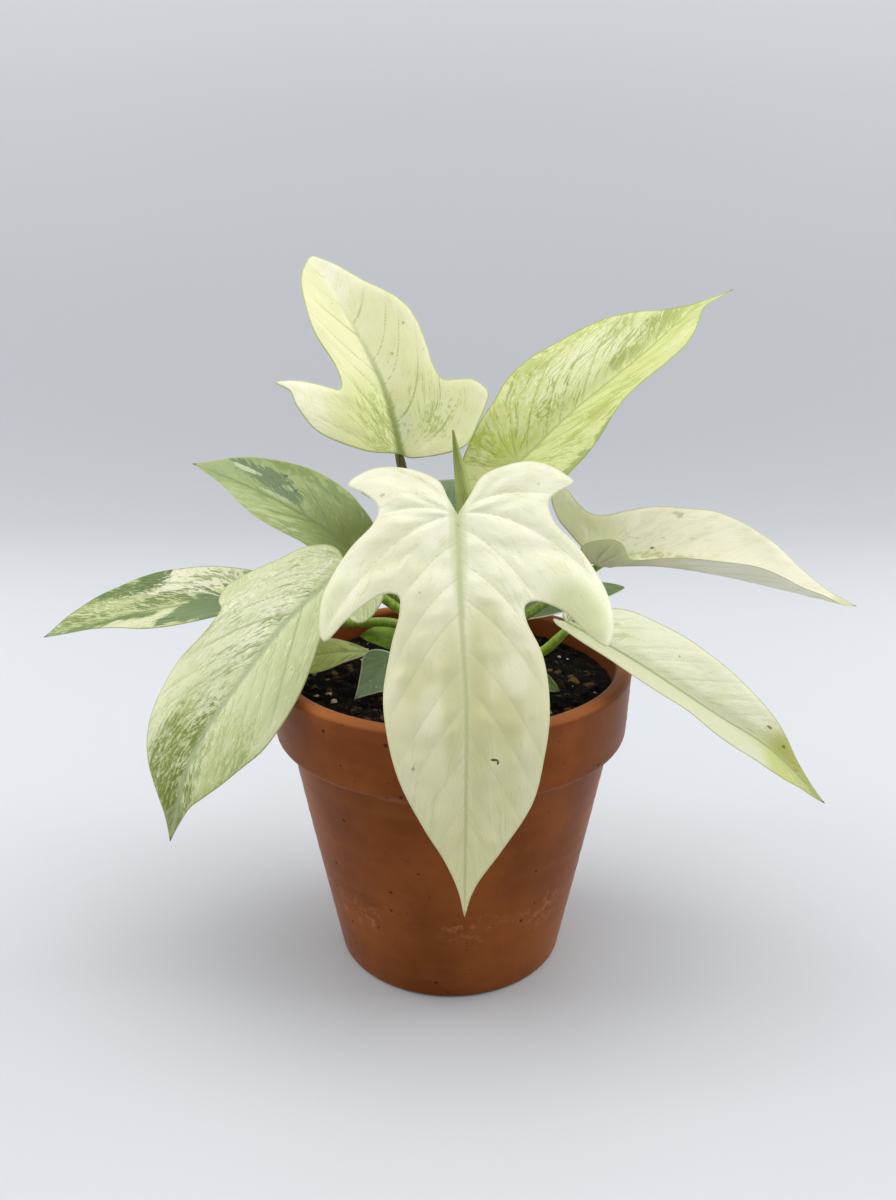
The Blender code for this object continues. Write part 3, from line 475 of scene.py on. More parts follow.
            (92, 8, 48, 20, (152, 164, 78), "mottle", 0.90, 2.6, 0.8),
            (98, 6, 34, 12, (108, 128, 8), "mottle", 0.92, 2.4, 0.9),
            (88, 14, 20, 7, (112, 131, 34), "mottle", 0.85, 1.8, 0.8),
            (76, 3, 24, 5, (112, 130, 40), "mottle", 0.80, 1.6, 0.8),
            (78, -19, 22, 8, (132, 148, 72), "mottle", 0.80, 2.2, 0.7),
            (92, -4, 26, 5, (120, 137, 56), "mottle", 0.80, 1.8, 0.7),
            (102, 0, 26, 12, (98, 117, 24), "mottle", 0.70, 1.6, 0.7),
            (112, 0, 14, 9, (94, 114, 26), "plain", 1.1, 2.2, 0.7),
            (0, 0, 0, 0, (142, 156, 92), "line", 0.56, 1.6, 0.55),
            (46, 8, 74, 19, (118, 137, 66), "line", 0.64, 1.2, 0.55),
            (50, 7, 66, 15, (118, 137, 66), "fleck", 0.40, 1.6, 0.45),
        ),
        "rib": ((150, 164, 120), 1.5, 0.9, 0.7, 0.8), "vein": ((138, 153, 94), 0.8),
        "edge": ((148, 152, 90), 0.55, 0.8), "specks": ((92, 114, 46), 0.15), "tip": 0.9,
        "stalk": ((124, 156, 42), (164, 190, 80)),
    },
    "far_left": {
        "base": (184, 192, 134), "tint": (156, 169, 102), "mix": 0.5,
        "stains_and_shading": (
            (20, 6, 44, 12, (210, 212, 166), "fleck", 0.90, 1.2, 0.8),
            (28, 14.5, 27, 9, (222, 221, 190), "mottle", 1.2, 0.6, 0.95),
            (24, 14, 24, 7, (140, 157, 84), "fleck", 0.55, 0.6, 0.8),
            (59, 14, 21, 8, (76, 105, 22), "fleck", 0.84, 0.7, 0.92),
            (47, 17, 8, 8, (70, 99, 22), "mottle", 0.90, 0.5, 0.92),
            (38, 4.5, 30, 5, (88, 114, 40), "fleck", 0.74, 0.5, 0.88),
            (30, 8, 30, 2.4, (92, 117, 42), "fleck", 0.70, 0.5, 0.85),
            (74, 7, 26, 9, (104, 128, 44), "fleck", 0.84, 1.0, 0.85),
            (66, 8, 28, 7, (212, 214, 162), "fleck", 0.52, 0.5, 0.88),
            (42, -10, 40, 13, (216, 217, 180), "fleck", 0.85, 0.7, 0.88),
            (23, -7, 10, 12, (100, 121, 74), "blotch", 1.5, 0.7, 0.95),
            (34, -15, 4.4, 4.5, (84, 110, 50), "mottle", 1.1, 0.5, 0.92),
            (44, -5, 5.4, 4.5, (90, 114, 54), "mottle", 1.1, 0.5, 0.92),
            (56, -3, 18, 5, (88, 113, 50), "fleck", 1.0, 0.6, 0.92),
            (57, -5, 3.4, 2.4, (222, 224, 190), "fleck", 1.1, 0.6, 0.88),
            (74, -4, 18, 6, (102, 125, 58), "fleck", 1.0, 0.8, 0.88),
            (0, 0, 0, 0, (104, 126, 56), "line", 0.46, 1.0, 0.55),
        ),
        "rib": ((110, 130, 76), 0.9, 0.5, 0.75, 0.6), "vein": ((112, 130, 66), 0.5),
        "edge": ((84, 106, 38), 0.5, 0.8), "specks": ((70, 98, 32), 0.25), "tip": 1.0,
        "stalk": ((124, 154, 46), (160, 186, 80)),
    },
    "mid_left": {
        "base": (150, 163, 100), "tint": (128, 146, 82), "mix": 0.5,
        "stains_and_shading": (
            (48, -9, 38, 12, (186, 198, 146), "blotch", 0.95, 2.6, 0.78),
            (74, 0, 30, 14, (158, 174, 122), "plain", 1.1, 2.5, 0.6),
            (2, 4, 34, 24, (108, 124, 44), "plain", 1.05, 2.5, 0.8),
            (0, 0, 0, 0, (106, 126, 60), "mottle", 0.42, 2.4, 0.55),
            (0, 0, 0, 0, (178, 190, 136), "fleck", 0.36, 2.2, 0.45),
            (36, 17, 34, 6, (112, 133, 62), "blotch", 0.90, 2.2, 0.65),
            (38, 5.6, 8.5, 4.6, (94, 115, 80), "fleck", 1.1, 0.9, 0.88),
            (48, 8.0, 12, 4.8, (92, 113, 76), "fleck", 1.15, 0.9, 0.88),
            (58.5, 9.2, 9.5, 2.8, (94, 116, 78), "fleck", 1.1, 0.9, 0.88),
            (41, 2.0, 10, 1.2, (180, 192, 150), "fleck", 0.95, 0.8, 0.75),
            (39.5, 7.5, 2.8, 1.1, (170, 183, 144), "fleck", 1.2, 1.0, 0.8),
            (58, 7.6, 7.0, 1.2, (192, 202, 164), "fleck", 1.15, 0.8, 0.88),
            (43.4, 12, 1.3, 1.3, (70, 90, 38), "plain", 1.1, 1.5, 0.85),
            (36, 8, 0.9, 1.2, (76, 94, 42), "plain", 1.1, 1.5, 0.85),
            (0, 0, 0, 0, (98, 116, 50), "line", 0.52, 1.4, 0.5),
        ),
        "rib": ((98, 115, 56), 0.8, 0.4, 0.8, 0.3), "vein": ((100, 117, 54), 0.85),
        "edge": ((168, 176, 120), 0.55, 0.6), "specks": ((60, 78, 36), 0.2), "tip": 0.9,
        "stalk": ((100, 122, 38), (140, 160, 66)),
    },
    "back": {
        "base": (104, 124, 84), "tint": (90, 112, 70), "mix": 0.5,
        "stains_and_shading": (
            (30, 6, 30, 18, (128, 148, 108), "blotch", 0.55, 1.0, 0.7),
            (52, -8, 20, 12, (158, 172, 134), "blotch", 0.45, 0.6, 0.7),
            (0, 0, 0, 0, (92, 112, 66), "line", 0.4, 1.2, 0.5),
        ),
        "rib": ((124, 144, 100), 1.0, 0.4, 0.8, 0.5), "vein": ((116, 138, 94), 0.5),
        "edge": ((150, 164, 118), 0.5, 0.5), "specks": ((60, 84, 40), 0.15), "tip": 0.8,
        "stalk": ((92, 112, 40), (130, 150, 68)),
    },
    "back_right": {
        "base": (98, 117, 64), "tint": (82, 102, 46), "mix": 0.5,
        "stains_and_shading": (
            (26, 6, 26, 12, (122, 142, 102), "blotch", 0.5, 0.9, 0.6),
            (46, -4, 14, 9, (142, 158, 120), "blotch", 0.45, 0.6, 0.6),
            (0, 0, 0, 0, (84, 104, 60), "line", 0.4, 1.2, 0.5),
        ),
        "rib": ((112, 134, 90), 0.8, 0.4, 0.8, 0.5), "vein": ((108, 130, 86), 0.5),
        "edge": ((190, 197, 160), 0.5, 0.8), "specks": ((60, 84, 40), 0.15), "tip": 0.8,
        "stalk": ((104, 130, 44), (146, 170, 80)),
    },
    "small_left": {
        "base": (216, 226, 138), "tint": (196, 210, 108), "mix": 0.5,
        "stains_and_shading": (
            (0, 0, 0, 0, (232, 235, 190), "fleck", 0.38, 0.9, 0.75),
            (0, 0, 0, 0, (132, 150, 80), "blotch", 0.25, 0.9, 0.65),
            (6, 0, 12, 9, (150, 168, 98), "blotch", 0.6, 1.2, 0.6),
            (0, 0, 0, 0, (140, 156, 92), "line", 0.4, 1.0, 0.5),
        ),
        "rib": ((150, 168, 108), 0.6, 0.3, 0.7, 0.5), "vein": ((150, 168, 106), 0.5),
        "edge": ((190, 166, 128), 0.4, 0.6), "specks": ((110, 130, 60), 0.2), "tip": 0.8,
        "stalk": ((116, 142, 56), (156, 178, 92)),
    },
    "small_front": {
        "base": (142, 168, 122), "tint": (124, 152, 106), "mix": 0.5,
        "stains_and_shading": (
            (9, -4, 10, 5, (138, 156, 122), "blotch", 0.7, 1.6, 0.6),
            (0, 0, 0, 0, (98, 120, 88), "line", 0.36, 1.2, 0.5),
        ),
        "rib": ((140, 160, 126), 0.5, 0.25, 0.6, 0.4), "vein": ((98, 122, 90), 0.5),
        "edge": ((206, 210, 180), 0.5, 0.85), "specks": ((190, 200, 176), 0.5), "tip": 0.6,
        "stalk": ((100, 124, 60), (140, 160, 90)),
    },
    "small_back": {
        "base": (134, 164, 16), "tint": (112, 144, 8), "mix": 0.5,
        "stains_and_shading": (
            (8, 2, 10, 5, (118, 146, 58), "blotch", 0.6, 1.4, 0.6),
            (0, 0, 0, 0, (72, 100, 28), "line", 0.36, 1.2, 0.5),
        ),
        "rib": ((122, 150, 66), 0.5, 0.25, 0.7, 0.5), "vein": ((78, 108, 34), 0.5),
        "edge": ((140, 160, 84), 0.4, 0.6), "specks": ((50, 80, 20), 0.15), "tip": 0.6,
        "stalk": ((96, 126, 36), (136, 164, 66)),
    },
    "small_right": {
        "base": (112, 134, 70), "tint": (94, 117, 54), "mix": 0.5,
        "stains_and_shading": (
            (12, 3, 14, 5, (142, 158, 98), "blotch", 0.6, 1.4, 0.6),
            (0, 0, 0, 0, (88, 108, 48), "line", 0.36, 1.2, 0.5),
        ),
        "rib": ((134, 156, 90), 0.5, 0.25, 0.7, 0.5), "vein": ((92, 114, 56), 0.5),
        "edge": ((170, 182, 128), 0.45, 0.7), "specks": ((60, 84, 30), 0.15), "tip": 0.6,
        "stalk": ((104, 130, 44), (146, 170, 80)),
    },
}


def tone(name, description, colour):
    """A colour property whose default is given from 0 to 255, as seen."""
    return bpy.props.FloatVectorProperty(
        name=name, description=description, default=[part / 255 for part in colour], min=0, max=1,
        subtype="COLOR_GAMMA",
    )


def picked(colour):
    """The value of a colour property, from 0 to 255."""
    return [share * 255 for share in colour]


def paint(colour):
    """A colour from 0 to 255, as seen, turned into the light that a shader works in."""
    shares = [part / 255 for part in colour]
    lit = [s / 12.92 if s <= 0.04045 else ((s + 0.055) / 1.055) ** 2.4 for s in shares]
    return (*lit, 1.0)


def unit(rows):
    """Each row of an array at length 1."""
    return rows / np.maximum(np.linalg.norm(rows, axis=1, keepdims=True), 1e-12)


def smooth(low, high, values):
    """0 below low, 1 above high and a smooth step between."""
    share = np.clip((values - low) / (high - low), 0, 1)
    return share * share * (3 - 2 * share)


def ridge(away, width):
    """1 on a line, and less with the distance from it."""
    return np.exp(-((away / width) ** 2))


def linked(name, data):
    """An object with this data, in the scene."""
    obj = bpy.data.objects.new(name, data)
    bpy.context.scene.collection.objects.link(obj)
    return obj


def mesh_of(name, points, edges=(), faces=()):
    """A mesh through points in mm."""
    mesh = bpy.data.meshes.new(name)
    mesh.from_pydata((np.asarray(points) * MM).tolist(), edges, faces)
    return mesh


def placed(obj, node=""):
    """Gives a piece its body, and hides the node that it stands for, if any."""
    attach(obj, "root")
    if node:
        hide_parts(node)
    return obj


def add_piece(name, points, faces, finish, node, crease, marks=()):
    """A piece made of points in mm. marks are its attributes: name, kind and a value for each point."""
    mesh = mesh_of(name, points, faces=faces)
    mesh.validate()
    for mark, kind, values in marks:
        field = mesh.attributes.new(mark, kind, "POINT")
        part = "vector" if kind == "FLOAT_VECTOR" else "value"
        field.data.foreach_set(part, np.asarray(values, np.float32).ravel())
    mesh.shade_smooth()
    mesh.set_sharp_from_angle(angle=radians(crease))
    mesh.materials.append(finish)
    return placed(linked(name, mesh), node)


def facing_out(mesh):
    """Merges the doubles of a closed mesh and turns its faces outwards."""
    form = bmesh.new()
    form.from_mesh(mesh)
    bmesh.ops.remove_doubles(form, verts=form.verts, dist=1e-7)
    bmesh.ops.recalc_face_normals(form, faces=form.faces)
    form.to_mesh(mesh)
    form.free()


def route(points, count):
    """Points at even steps along a smooth curve through the given ones, and the curve's length."""
    knots = np.asarray(points, float)
    knots = np.vstack([2 * knots[0] - knots[1], knots, 2 * knots[-1] - knots[-2]])
    share = np.arange(ROUTE_STEPS)[:, None] / ROUTE_STEPS
    fine = []
    for a, b, c, d in zip(knots, knots[1:], knots[2:], knots[3:]):
        cubic = (3 * b - a - 3 * c + d) * share ** 3
        fine.append(0.5 * (2 * b + (c - a) * share + (2 * a - 5 * b + 4 * c - d) * share ** 2 + cubic))
    fine = np.vstack([*fine, knots[-2:-1]])
    walked = np.concatenate([[0], np.cumsum(np.linalg.norm(np.diff(fine, axis=0), axis=1))])
    goals = np.linspace(0, walked[-1], count + 1)
    return np.stack([np.interp(goals, walked, fine[:, i]) for i in range(fine.shape[1])], 1), walked[-1]


def lean(points, pivot=CROWN_PIVOT):
    """The points leant back about a pivot."""
    turn = Matrix.Rotation(radians(-CROWN_LEAN), 3, "X")
    pivot = Vector(pivot)
    return [tuple(pivot + turn @ (Vector(point) - pivot)) for point in points]


def leant(leaf):
    """A leaf whose blade and stalk lean back with the crown. The stalk's first point stays at the stem."""
    moved = dict(leaf)
    moved["midrib"] = lean(leaf["midrib"])
    moved["face"] = lean(leaf["face"], (0, 0, 0))
    moved["stalk"] = [leaf["stalk"][0], *lean(leaf["stalk"][1:])]
    return moved


class BladeForm:
    """The bent middle surface of one blade, as the solid has it."""

    def __init__(self, leaf):
        self.line, self.length = route(leaf["midrib"], RIB_STEPS)
        self.ahead = unit(np.gradient(self.line, axis=0))
        self.faces = [np.array(Vector(face).normalized()) for face in leaf["face"]]
        self.fold = leaf["fold"]
        self.tip_fold = leaf.get("tip_fold", leaf["fold"])
        self.curl = leaf["curl"]

    def frame(self, along):
        """The points of the midrib, its direction, the upper side's normal and the way to the right."""
        within = np.clip(along, 0, self.length)
        place = within / self.length * RIB_STEPS
        steps = np.arange(RIB_STEPS + 1)
        point = np.stack([np.interp(place, steps, self.line[:, i]) for i in range(3)], 1)
        ahead = unit(np.stack([np.interp(place, steps, self.ahead[:, i]) for i in range(3)], 1))
        share = (within / self.length)[:, None]
        face = self.faces[0] * (1 - share) + self.faces[1] * share
        normal = unit(face - ahead * (face * ahead).sum(1, keepdims=True))
        return point + ahead * (along - within)[:, None], ahead, normal, np.cross(ahead, normal)

    def at(self, along, across):
        """Points of the blade. across is positive on the right half."""
        point, _, normal, right = self.frame(along)
        share = np.clip(along / self.length, 0, 1)
        half = across > 0
        start = np.where(half, self.fold[1], self.fold[0])
        end = np.where(half, self.tip_fold[1], self.tip_fold[0])
        fold = np.radians(start * (1 - share) + end * share)
        curl = np.radians(np.where(half, self.curl[1], self.curl[0])) / 10
        width = np.abs(across)
        out, up = np.zeros_like(width), np.zeros_like(width)
        for i in range(CURL_STEPS):
            reach = width * (i + 0.5) / CURL_STEPS
            angle = fold * np.minimum(1, reach / KEEL) + curl * reach
            out += np.cos(angle) * width / CURL_STEPS
            up += np.sin(angle) * width / CURL_STEPS
        out = np.where(half, out, -out)
        return point + right * out[:, None] + normal * up[:, None]

    def skin(self, along, across):
        """Points of the blade with their normals and the directions of along and across."""
        step = 0.15
        forward = self.at(along + step, across) - self.at(along - step, across)
        beside = self.at(along, across + step) - self.at(along, across - step)
        return self.at(along, across), unit(np.cross(beside, forward)), unit(forward), unit(beside)


def blade_outline(leaf, length, step):
    """The flat outline at even steps, with the sinus, the tip and each side's lobes."""
    loop = []
    for side, sign in (("right", 1), ("left", -1)):
        flat = [(leaf["sinus"], 0), *((u, sign * v) for u, v in leaf[side]), (length, 0)]
        _, whole = route(flat, 1)
        edge, _ = route(flat, max(8, round(whole / step)))
        loop.append(edge)
    return np.vstack([loop[0][:-1], loop[1][::-1][:-1]])


def from_outline(spots, loop):
    """How far each spot lies inside a closed outline, negative outside."""
    odd = np.zeros(len(spots), bool)
    near = np.full(len(spots), 1e9)
    x, y = spots[:, 0], spots[:, 1]
    for (x1, y1), (x2, y2) in zip(loop, np.roll(loop, -1, axis=0)):
        if y1 != y2:
            crossing = (y1 > y) != (y2 > y)
            odd ^= crossing & (x < x1 + (y - y1) * (x2 - x1) / (y2 - y1))
        run = (x2 - x1) ** 2 + (y2 - y1) ** 2
        share = np.clip(((x - x1) * (x2 - x1) + (y - y1) * (y2 - y1)) / max(run, 1e-12), 0, 1)
        near = np.minimum(near, (x1 + share * (x2 - x1) - x) ** 2 + (y1 + share * (y2 - y1) - y) ** 2)
    return np.where(odd, 1, -1) * np.sqrt(near)


def blade_mesh(loop, length, grid):
    """The outline filled with fine triangles: rows beside the midrib and a hexagonal grid elsewhere."""
    steps = int((length + BEHIND) / grid)
    spots = []
    for order, row in enumerate(RIB_ROWS):
        for i in range(steps):
            along = (i + 0.5 * (order % 2)) * grid - BEHIND
            spots += [(along, row), (along, -row)] if row else [(along, 0.0)]
    low, high = loop.min(axis=0), loop.max(axis=0)
    for j in range(int((high[1] - low[1]) / grid / HEXAGON_ROW) + 2):
        across = low[1] + j * grid * HEXAGON_ROW
        if abs(across) > RIB_ROWS[-1] + 0.5 * grid:
            count = int((high[0] - low[0]) / grid) + 2
            spots += [(low[0] + (i + 0.5 * (j % 2)) * grid, across) for i in range(count)]
    spots = np.array(spots)
    spots = spots[from_outline(spots, loop) > 0.55 * grid]
    flat = [Vector((u, v)) for u, v in np.vstack([loop, spots])]
    ring = [(i, (i + 1) % len(loop)) for i in range(len(loop))]
    points, _, faces, _, _, _ = delaunay_2d_cdt(flat, ring, [], 1, 1e-5)
    return np.array([(p.x, p.y) for p in points]), np.array(faces)


def vein_field(veins, sinus, along, across):
    """The veins' own coordinates in mm: across them, along them, and the distance from the nearest."""
    space, left_slant, right_slant, gain, bend, fan, first, _ = veins
    width = np.abs(across)
    reach = along - sinus
    slant = np.where(across > 0, right_slant, left_slant)
    lean_here = slant + bend * width
    start = (reach - lean_here * width) / (1 + gain * width)
    radius = np.hypot(reach, width)
    behind = np.arctan2(width, reach) - np.arctan2(1.0, lean_here)
    fan = radians(fan)
    order = np.where(start >= 0, start / space, -np.maximum(behind, 0) / fan)
    order += first + np.where(across > 0, 0.0, 0.38)
    order += 0.12 * np.sin(2.3 * order + 4 * first) + 0.05 * np.sin(5.1 * order)
    slope = slant + gain * np.maximum(start, 0) + 2 * bend * width
    apart = space * (1 + gain * width) / np.sqrt(1 + slope ** 2)
    apart = np.where(start >= 0, apart, fan * radius)
    gone = np.where(start >= 0, width * np.sqrt(1 + slope ** 2), radius)
    return order, order * space, gone, np.abs(order - np.round(order)) * apart


def crumple(phase, gone, seed):
    """Soft uneven swells from -1 to 1 that run with the veins."""
    waves = ((0.4, 38, 1.0), (0.7, 21, 0.9), (1.15, 14, 0.6), (1.9, 10, 0.35))
    total = 0
    for turn, (often, reach, height) in enumerate(waves):
        shift = 2.4 * turn * turn
        total = total + height * np.sin(2 * pi * (often * phase + gone / reach) + shift + 3 * seed)
    return total / 2.4


def border(faces):
    """The edges that only one of these triangles has, in its direction."""
    ends = np.concatenate([faces[:, [0, 1]], faces[:, [1, 2]], faces[:, [2, 0]]])
    _, first, counts = np.unique(np.sort(ends, axis=1), axis=0, return_index=True, return_counts=True)
    return ends[first[counts == 1]]


def way_out(flat, edges, ring):
    """The direction out of a flat outline at each point of its ring."""
    out = np.zeros((len(flat), 2))
    run = flat[edges[:, 1]] - flat[edges[:, 0]]
    away = np.stack([run[:, 1], -run[:, 0]], 1)
    for end in (0, 1):
        np.add.at(out, edges[:, end], away)
    return unit(out[ring])


def blade_piece(name, leaf, veins, finish, relief, grid, order):
    """A leaf blade: thin, quilted between its veins, ribbed underneath, with a soft wavy margin."""
    form = BladeForm(leaf)
    loop = blade_outline(leaf, form.length, grid * 0.9)
    flat, faces = blade_mesh(loop, form.length, grid)
    along, across = flat[:, 0], flat[:, 1]
    rim = np.maximum(from_outline(flat, loop), 0)
    width = np.abs(across)
    phase, cross, gone, near = vein_field(veins, leaf["sinus"], along, across)
    base, normal, forward, beside = form.skin(along, across)

    # The quilting and its swells, calmer by the margin, the midrib and the tip
    share = np.clip(along / form.length, 0, 1)
    lively = smooth(0.2, 5.0, rim) * smooth(0.5, 5.0, width) * (1 - 0.6 * smooth(0.75, 1, share))
    pillow = np.abs(np.sin(pi * phase)) ** 0.9 - 0.6
    swells = crumple(phase, gone, order + np.where(across > 0, 0, 1.7))
    quilt = (0.30 - 0.17 * share) * pillow * (1 + 0.7 * swells) + 0.12 * swells
    rise = relief * veins[-1] * lively * quilt

    # A furrow over the midrib, with a fine line in it
    rise -= 0.26 * ridge(width, 1.1) * (1 - 0.8 * share) * smooth(0, 2, rim)
    rise += 0.14 * ridge(width, 0.42) * (1 - share) * smooth(0, 2, rim)

    # The waves of the margin, and a slow sway of the whole blade
    wave = np.sin(along / 9.5 + 1.9 * order + np.where(across > 0, 0.0, 2.0))
    wave += 0.6 * np.sin(along / 4.7 + 2.6 * order + np.where(across > 0, 1.1, 0.2))
    rise += relief * 0.34 * wave * (1 - smooth(0.0, 9.0, rim)) * smooth(1, 8, width)
    sway = relief * 0.12 * np.sin(along / 13 + order) * np.sin(across / 11 + 2 * order)
    rise += sway * smooth(1, 9, width)

    # Thinner to the margin. Underneath, the midrib and the side veins stand out
    thick = 0.10 + 0.17 * smooth(0, 2.2, rim)
    rib = 1.25 * (1 - share) ** 0.8 + 0.25
    keel = np.sqrt(np.maximum(rib ** 2 - width ** 2, 0)) * smooth(0, 2.5, rim)
    side_rib = 0.28 * ridge(near, 0.55) * smooth(0.5, 6, rim) * smooth(1.0, 3.0, width)
    top = base + normal * (rise + thick)[:, None]
    under = base + normal * (rise - thick - keel - side_rib)[:, None]

    # The round lip that joins the two sides along the margin
    edges = border(faces)
    ring = np.unique(edges)
    out = way_out(flat, edges, ring)
    push = forward[ring] * out[:, :1] + beside[ring] * out[:, 1:]
    lip = base[ring] + normal[ring] * rise[ring][:, None] + push * 0.10
    count = len(flat)
    lip_of = np.full(count, -1)
    lip_of[ring] = np.arange(len(ring)) + 2 * count

    a, b = edges[:, 0], edges[:, 1]
    rim_faces = [(p, q, s, r) for p, q, r, s in zip(a, b, lip_of[a], lip_of[b])]
    rim_faces += [(r, s, q + count, p + count) for p, q, r, s in zip(a, b, lip_of[a], lip_of[b])]
    polygons = faces[:, ::-1].tolist() + (faces + count).tolist()
    polygons += [tuple(int(i) for i in face) for face in rim_faces]
    everyone = np.concatenate([np.arange(count), np.arange(count), ring])
    upper = np.concatenate([np.ones(count), np.zeros(count), np.ones(len(ring))])
    marks = (
        ("blade", "FLOAT_VECTOR", np.stack([along, across, rim], 1)[everyone]),
        ("grain", "FLOAT_VECTOR", np.stack([cross, gone, near], 1)[everyone]),
        ("upper", "FLOAT", upper),
    )
    points = np.vstack([top, under, lip])
    return add_piece("leaf_" + name, points, polygons, finish, "blade_" + name, 60, marks)


def bands(rows, sides, closed):
    """The faces between rings of points, and from the last ring to the first one if it is closed."""
    faces = []
    for i in range(rows if closed else rows - 1):
        j = (i + 1) % rows
        for k in range(sides):
            n = (k + 1) % sides
            faces.append((i * sides + k, j * sides + k, j * sides + n, i * sides + n))
    return faces


def revolved(profile, steps, wobble):
    """Points and faces of a solid of revolution. The closed profile (radius, height) runs down its outer
    side. wobble gives how far a point moves out, from its angle and height."""
    profile = np.array(profile)
    angle = np.linspace(0, 2 * pi, steps, endpoint=False)
    radius = profile[:, :1] + wobble(angle[None, :], profile[:, 1:])
    radius = np.where(profile[:, :1] > 0, radius, 0)
    height = np.broadcast_to(profile[:, 1:], radius.shape)
    points = np.stack([radius * np.cos(angle), radius * np.sin(angle), height], 2).reshape(-1, 3)
    return points, bands(len(profile), steps, True)


def arc(centre, radii, start, end, steps):
    """Points of an elliptic arc in a profile, between two angles in degrees."""
    angles = [radians(start + (end - start) * i / steps) for i in range(steps + 1)]
    return [(centre[0] + radii[0] * cos(a), centre[1] + radii[1] * sin(a)) for a in angles]


def stretched(profile, step):
    """A profile with extra points, so that none of its straight runs is longer than the step."""
    full = []
    for (r1, z1), (r2, z2) in zip(profile, profile[1:] + profile[:1]):
        count = max(1, round(np.hypot(r2 - r1, z2 - z1) / step))
        full += [(r1 + (r2 - r1) * i / count, z1 + (z2 - z1) * i / count) for i in range(count)]
    return full


def inner_wall():
    """The pot's inner face above the rounding of its floor, as (radius, height) upwards."""
    return [
        (BASE_RADIUS - BODY_WALL, FLOOR + FLOOR_ROUND),
        (BODY_TOP_RADIUS - BODY_WALL, RIM_LOW - LEDGE_DROP),
        (RIM_RADIUS - RIM_WALL - LEDGE_SETBACK, RIM_LOW + LEDGE_RISE),
        (RIM_RADIUS - RIM_WALL, POT_HEIGHT - LIP),
    ]


def inner_radius(height):
    """The pot's inner radius at a height between its floor and its rim."""
    wall = inner_wall()
    return float(np.interp(height, [z for _, z in wall], [r for r, _ in wall]))


class Reading:
    """A value, vector or colour in a tree of nodes. Sums on it add Math nodes."""

    def __init__(self, tree, socket=None):
        self.tree = tree
        self.socket = socket

    def node(self, kind, settings=None, values=None, output=0):
        """Adds a node, sets it up, fills its inputs with values or links, and returns one output."""
        made = self.tree.nodes.new(kind)
        for name, setting in (settings or {}).items():
            setattr(made, name, setting)
        for name, value in (values or {}).items():
            if isinstance(value, Reading):
                self.tree.links.new(value.socket, made.inputs[name])
            else:
                made.inputs[name].default_value = value
        return Reading(self.tree, made.outputs[output] if made.outputs else None)

    def other(self, output):
        return Reading(self.tree, self.socket.node.outputs[output])

    def math(self, operation, *terms):
        return self.node("ShaderNodeMath", {"operation": operation}, dict(enumerate(terms)))

    def __add__(self, term):
        return self.math("ADD", self, term)

    def __sub__(self, term):
        return self.math("SUBTRACT", self, term)

    def __rsub__(self, term):
        return self.math("SUBTRACT", term, self)

    def __mul__(self, term):
        return self.math("MULTIPLY", self, term)

    def __truediv__(self, term):
        return self.math("DIVIDE", self, term)

    def __rtruediv__(self, term):
        return self.math("DIVIDE", term, self)

    def __pow__(self, term):
        return self.math("POWER", self, term)

    def __abs__(self):
        return self.math("ABSOLUTE", self)

    def __gt__(self, term):
        return self.math("GREATER_THAN", self, term)

    __radd__ = __add__
    __rmul__ = __mul__

    def ramp(self, low, high):
        """0 below low, 1 above high and a smooth step between."""
        smoothly = {"interpolation_type": "SMOOTHSTEP"}
        return self.node("ShaderNodeMapRange", smoothly, {0: self, 1: low, 2: high})

    def under(self, high, low=0.0):
        """1 below low, 0 above high."""
        return 1 - self.ramp(low, high)

    def attribute(self, name, output="Vector"):
        return self.node("ShaderNodeAttribute", {"attribute_name": name}, output=output)

    def split(self):
        parts = self.node("ShaderNodeSeparateXYZ", values={0: self})
        return parts, parts.other("Y"), parts.other("Z")

    def vector(self, x, y, z=0.0):
        return self.node("ShaderNodeCombineXYZ", values={0: x, 1: y, 2: z})

    def noise(self, place, scale=1.0, detail=2.0, roughness=0.55):
        values = {"Vector": place, "Scale": scale, "Detail": detail, "Roughness": roughness}
        return self.node("ShaderNodeTexNoise", values=values)

    def cells(self, place, scale=1.0):
        """The distance from the nearest cell's middle, and a number from 0 to 1 for that cell."""
        found = self.node("ShaderNodeTexVoronoi", values={"Vector": place, "Scale": scale})
        return found, found.other("Color").split()[0]

    def mixed(self, share, first, second):
        """A colour between two, each a colour or a reading."""
        first, second = (c if isinstance(c, Reading) else paint(c) for c in (first, second))
        return self.node("ShaderNodeMix", {"data_type": "RGBA"}, {0: share, 6: first, 7: second}, 2)

    def raised(self, height, strength, distance):
        """The normal of a surface with this height on it. distance is in metres."""
        values = {"Height": height, "Strength": strength, "Distance": distance}
        return self.node("ShaderNodeBump", values=values)


class Finish:
    """A material with a Principled shader, and the readings that its colour starts from."""

    def __init__(self, name, specular=0.4):
        self.made = bpy.data.materials.new(name)
        self.made.use_nodes = True
        self.shader = self.made.node_tree.nodes["Principled BSDF"]
        self.feed("Specular IOR Level", specular)
        self.root = Reading(self.made.node_tree)
        coords = self.root.node("ShaderNodeTexCoord", output="Object")
        self.place = self.root.node(
            "ShaderNodeVectorMath", {"operation": "SCALE"}, {0: coords, "Scale": 1000}
        )

    def feed(self, name, value):
        """Links a reading to one of the shader's inputs, or sets a value there."""
        if isinstance(value, Reading):
            self.made.node_tree.links.new(value.socket, self.shader.inputs[name])
        else:
            self.shader.inputs[name].default_value = value

    def done(self, colour, roughness, normal=None):
        """The finished material."""
        self.feed("Base Color", colour)
        self.feed("Roughness", roughness)
        if normal is not None:
            self.feed("Normal", normal)
        return self.made


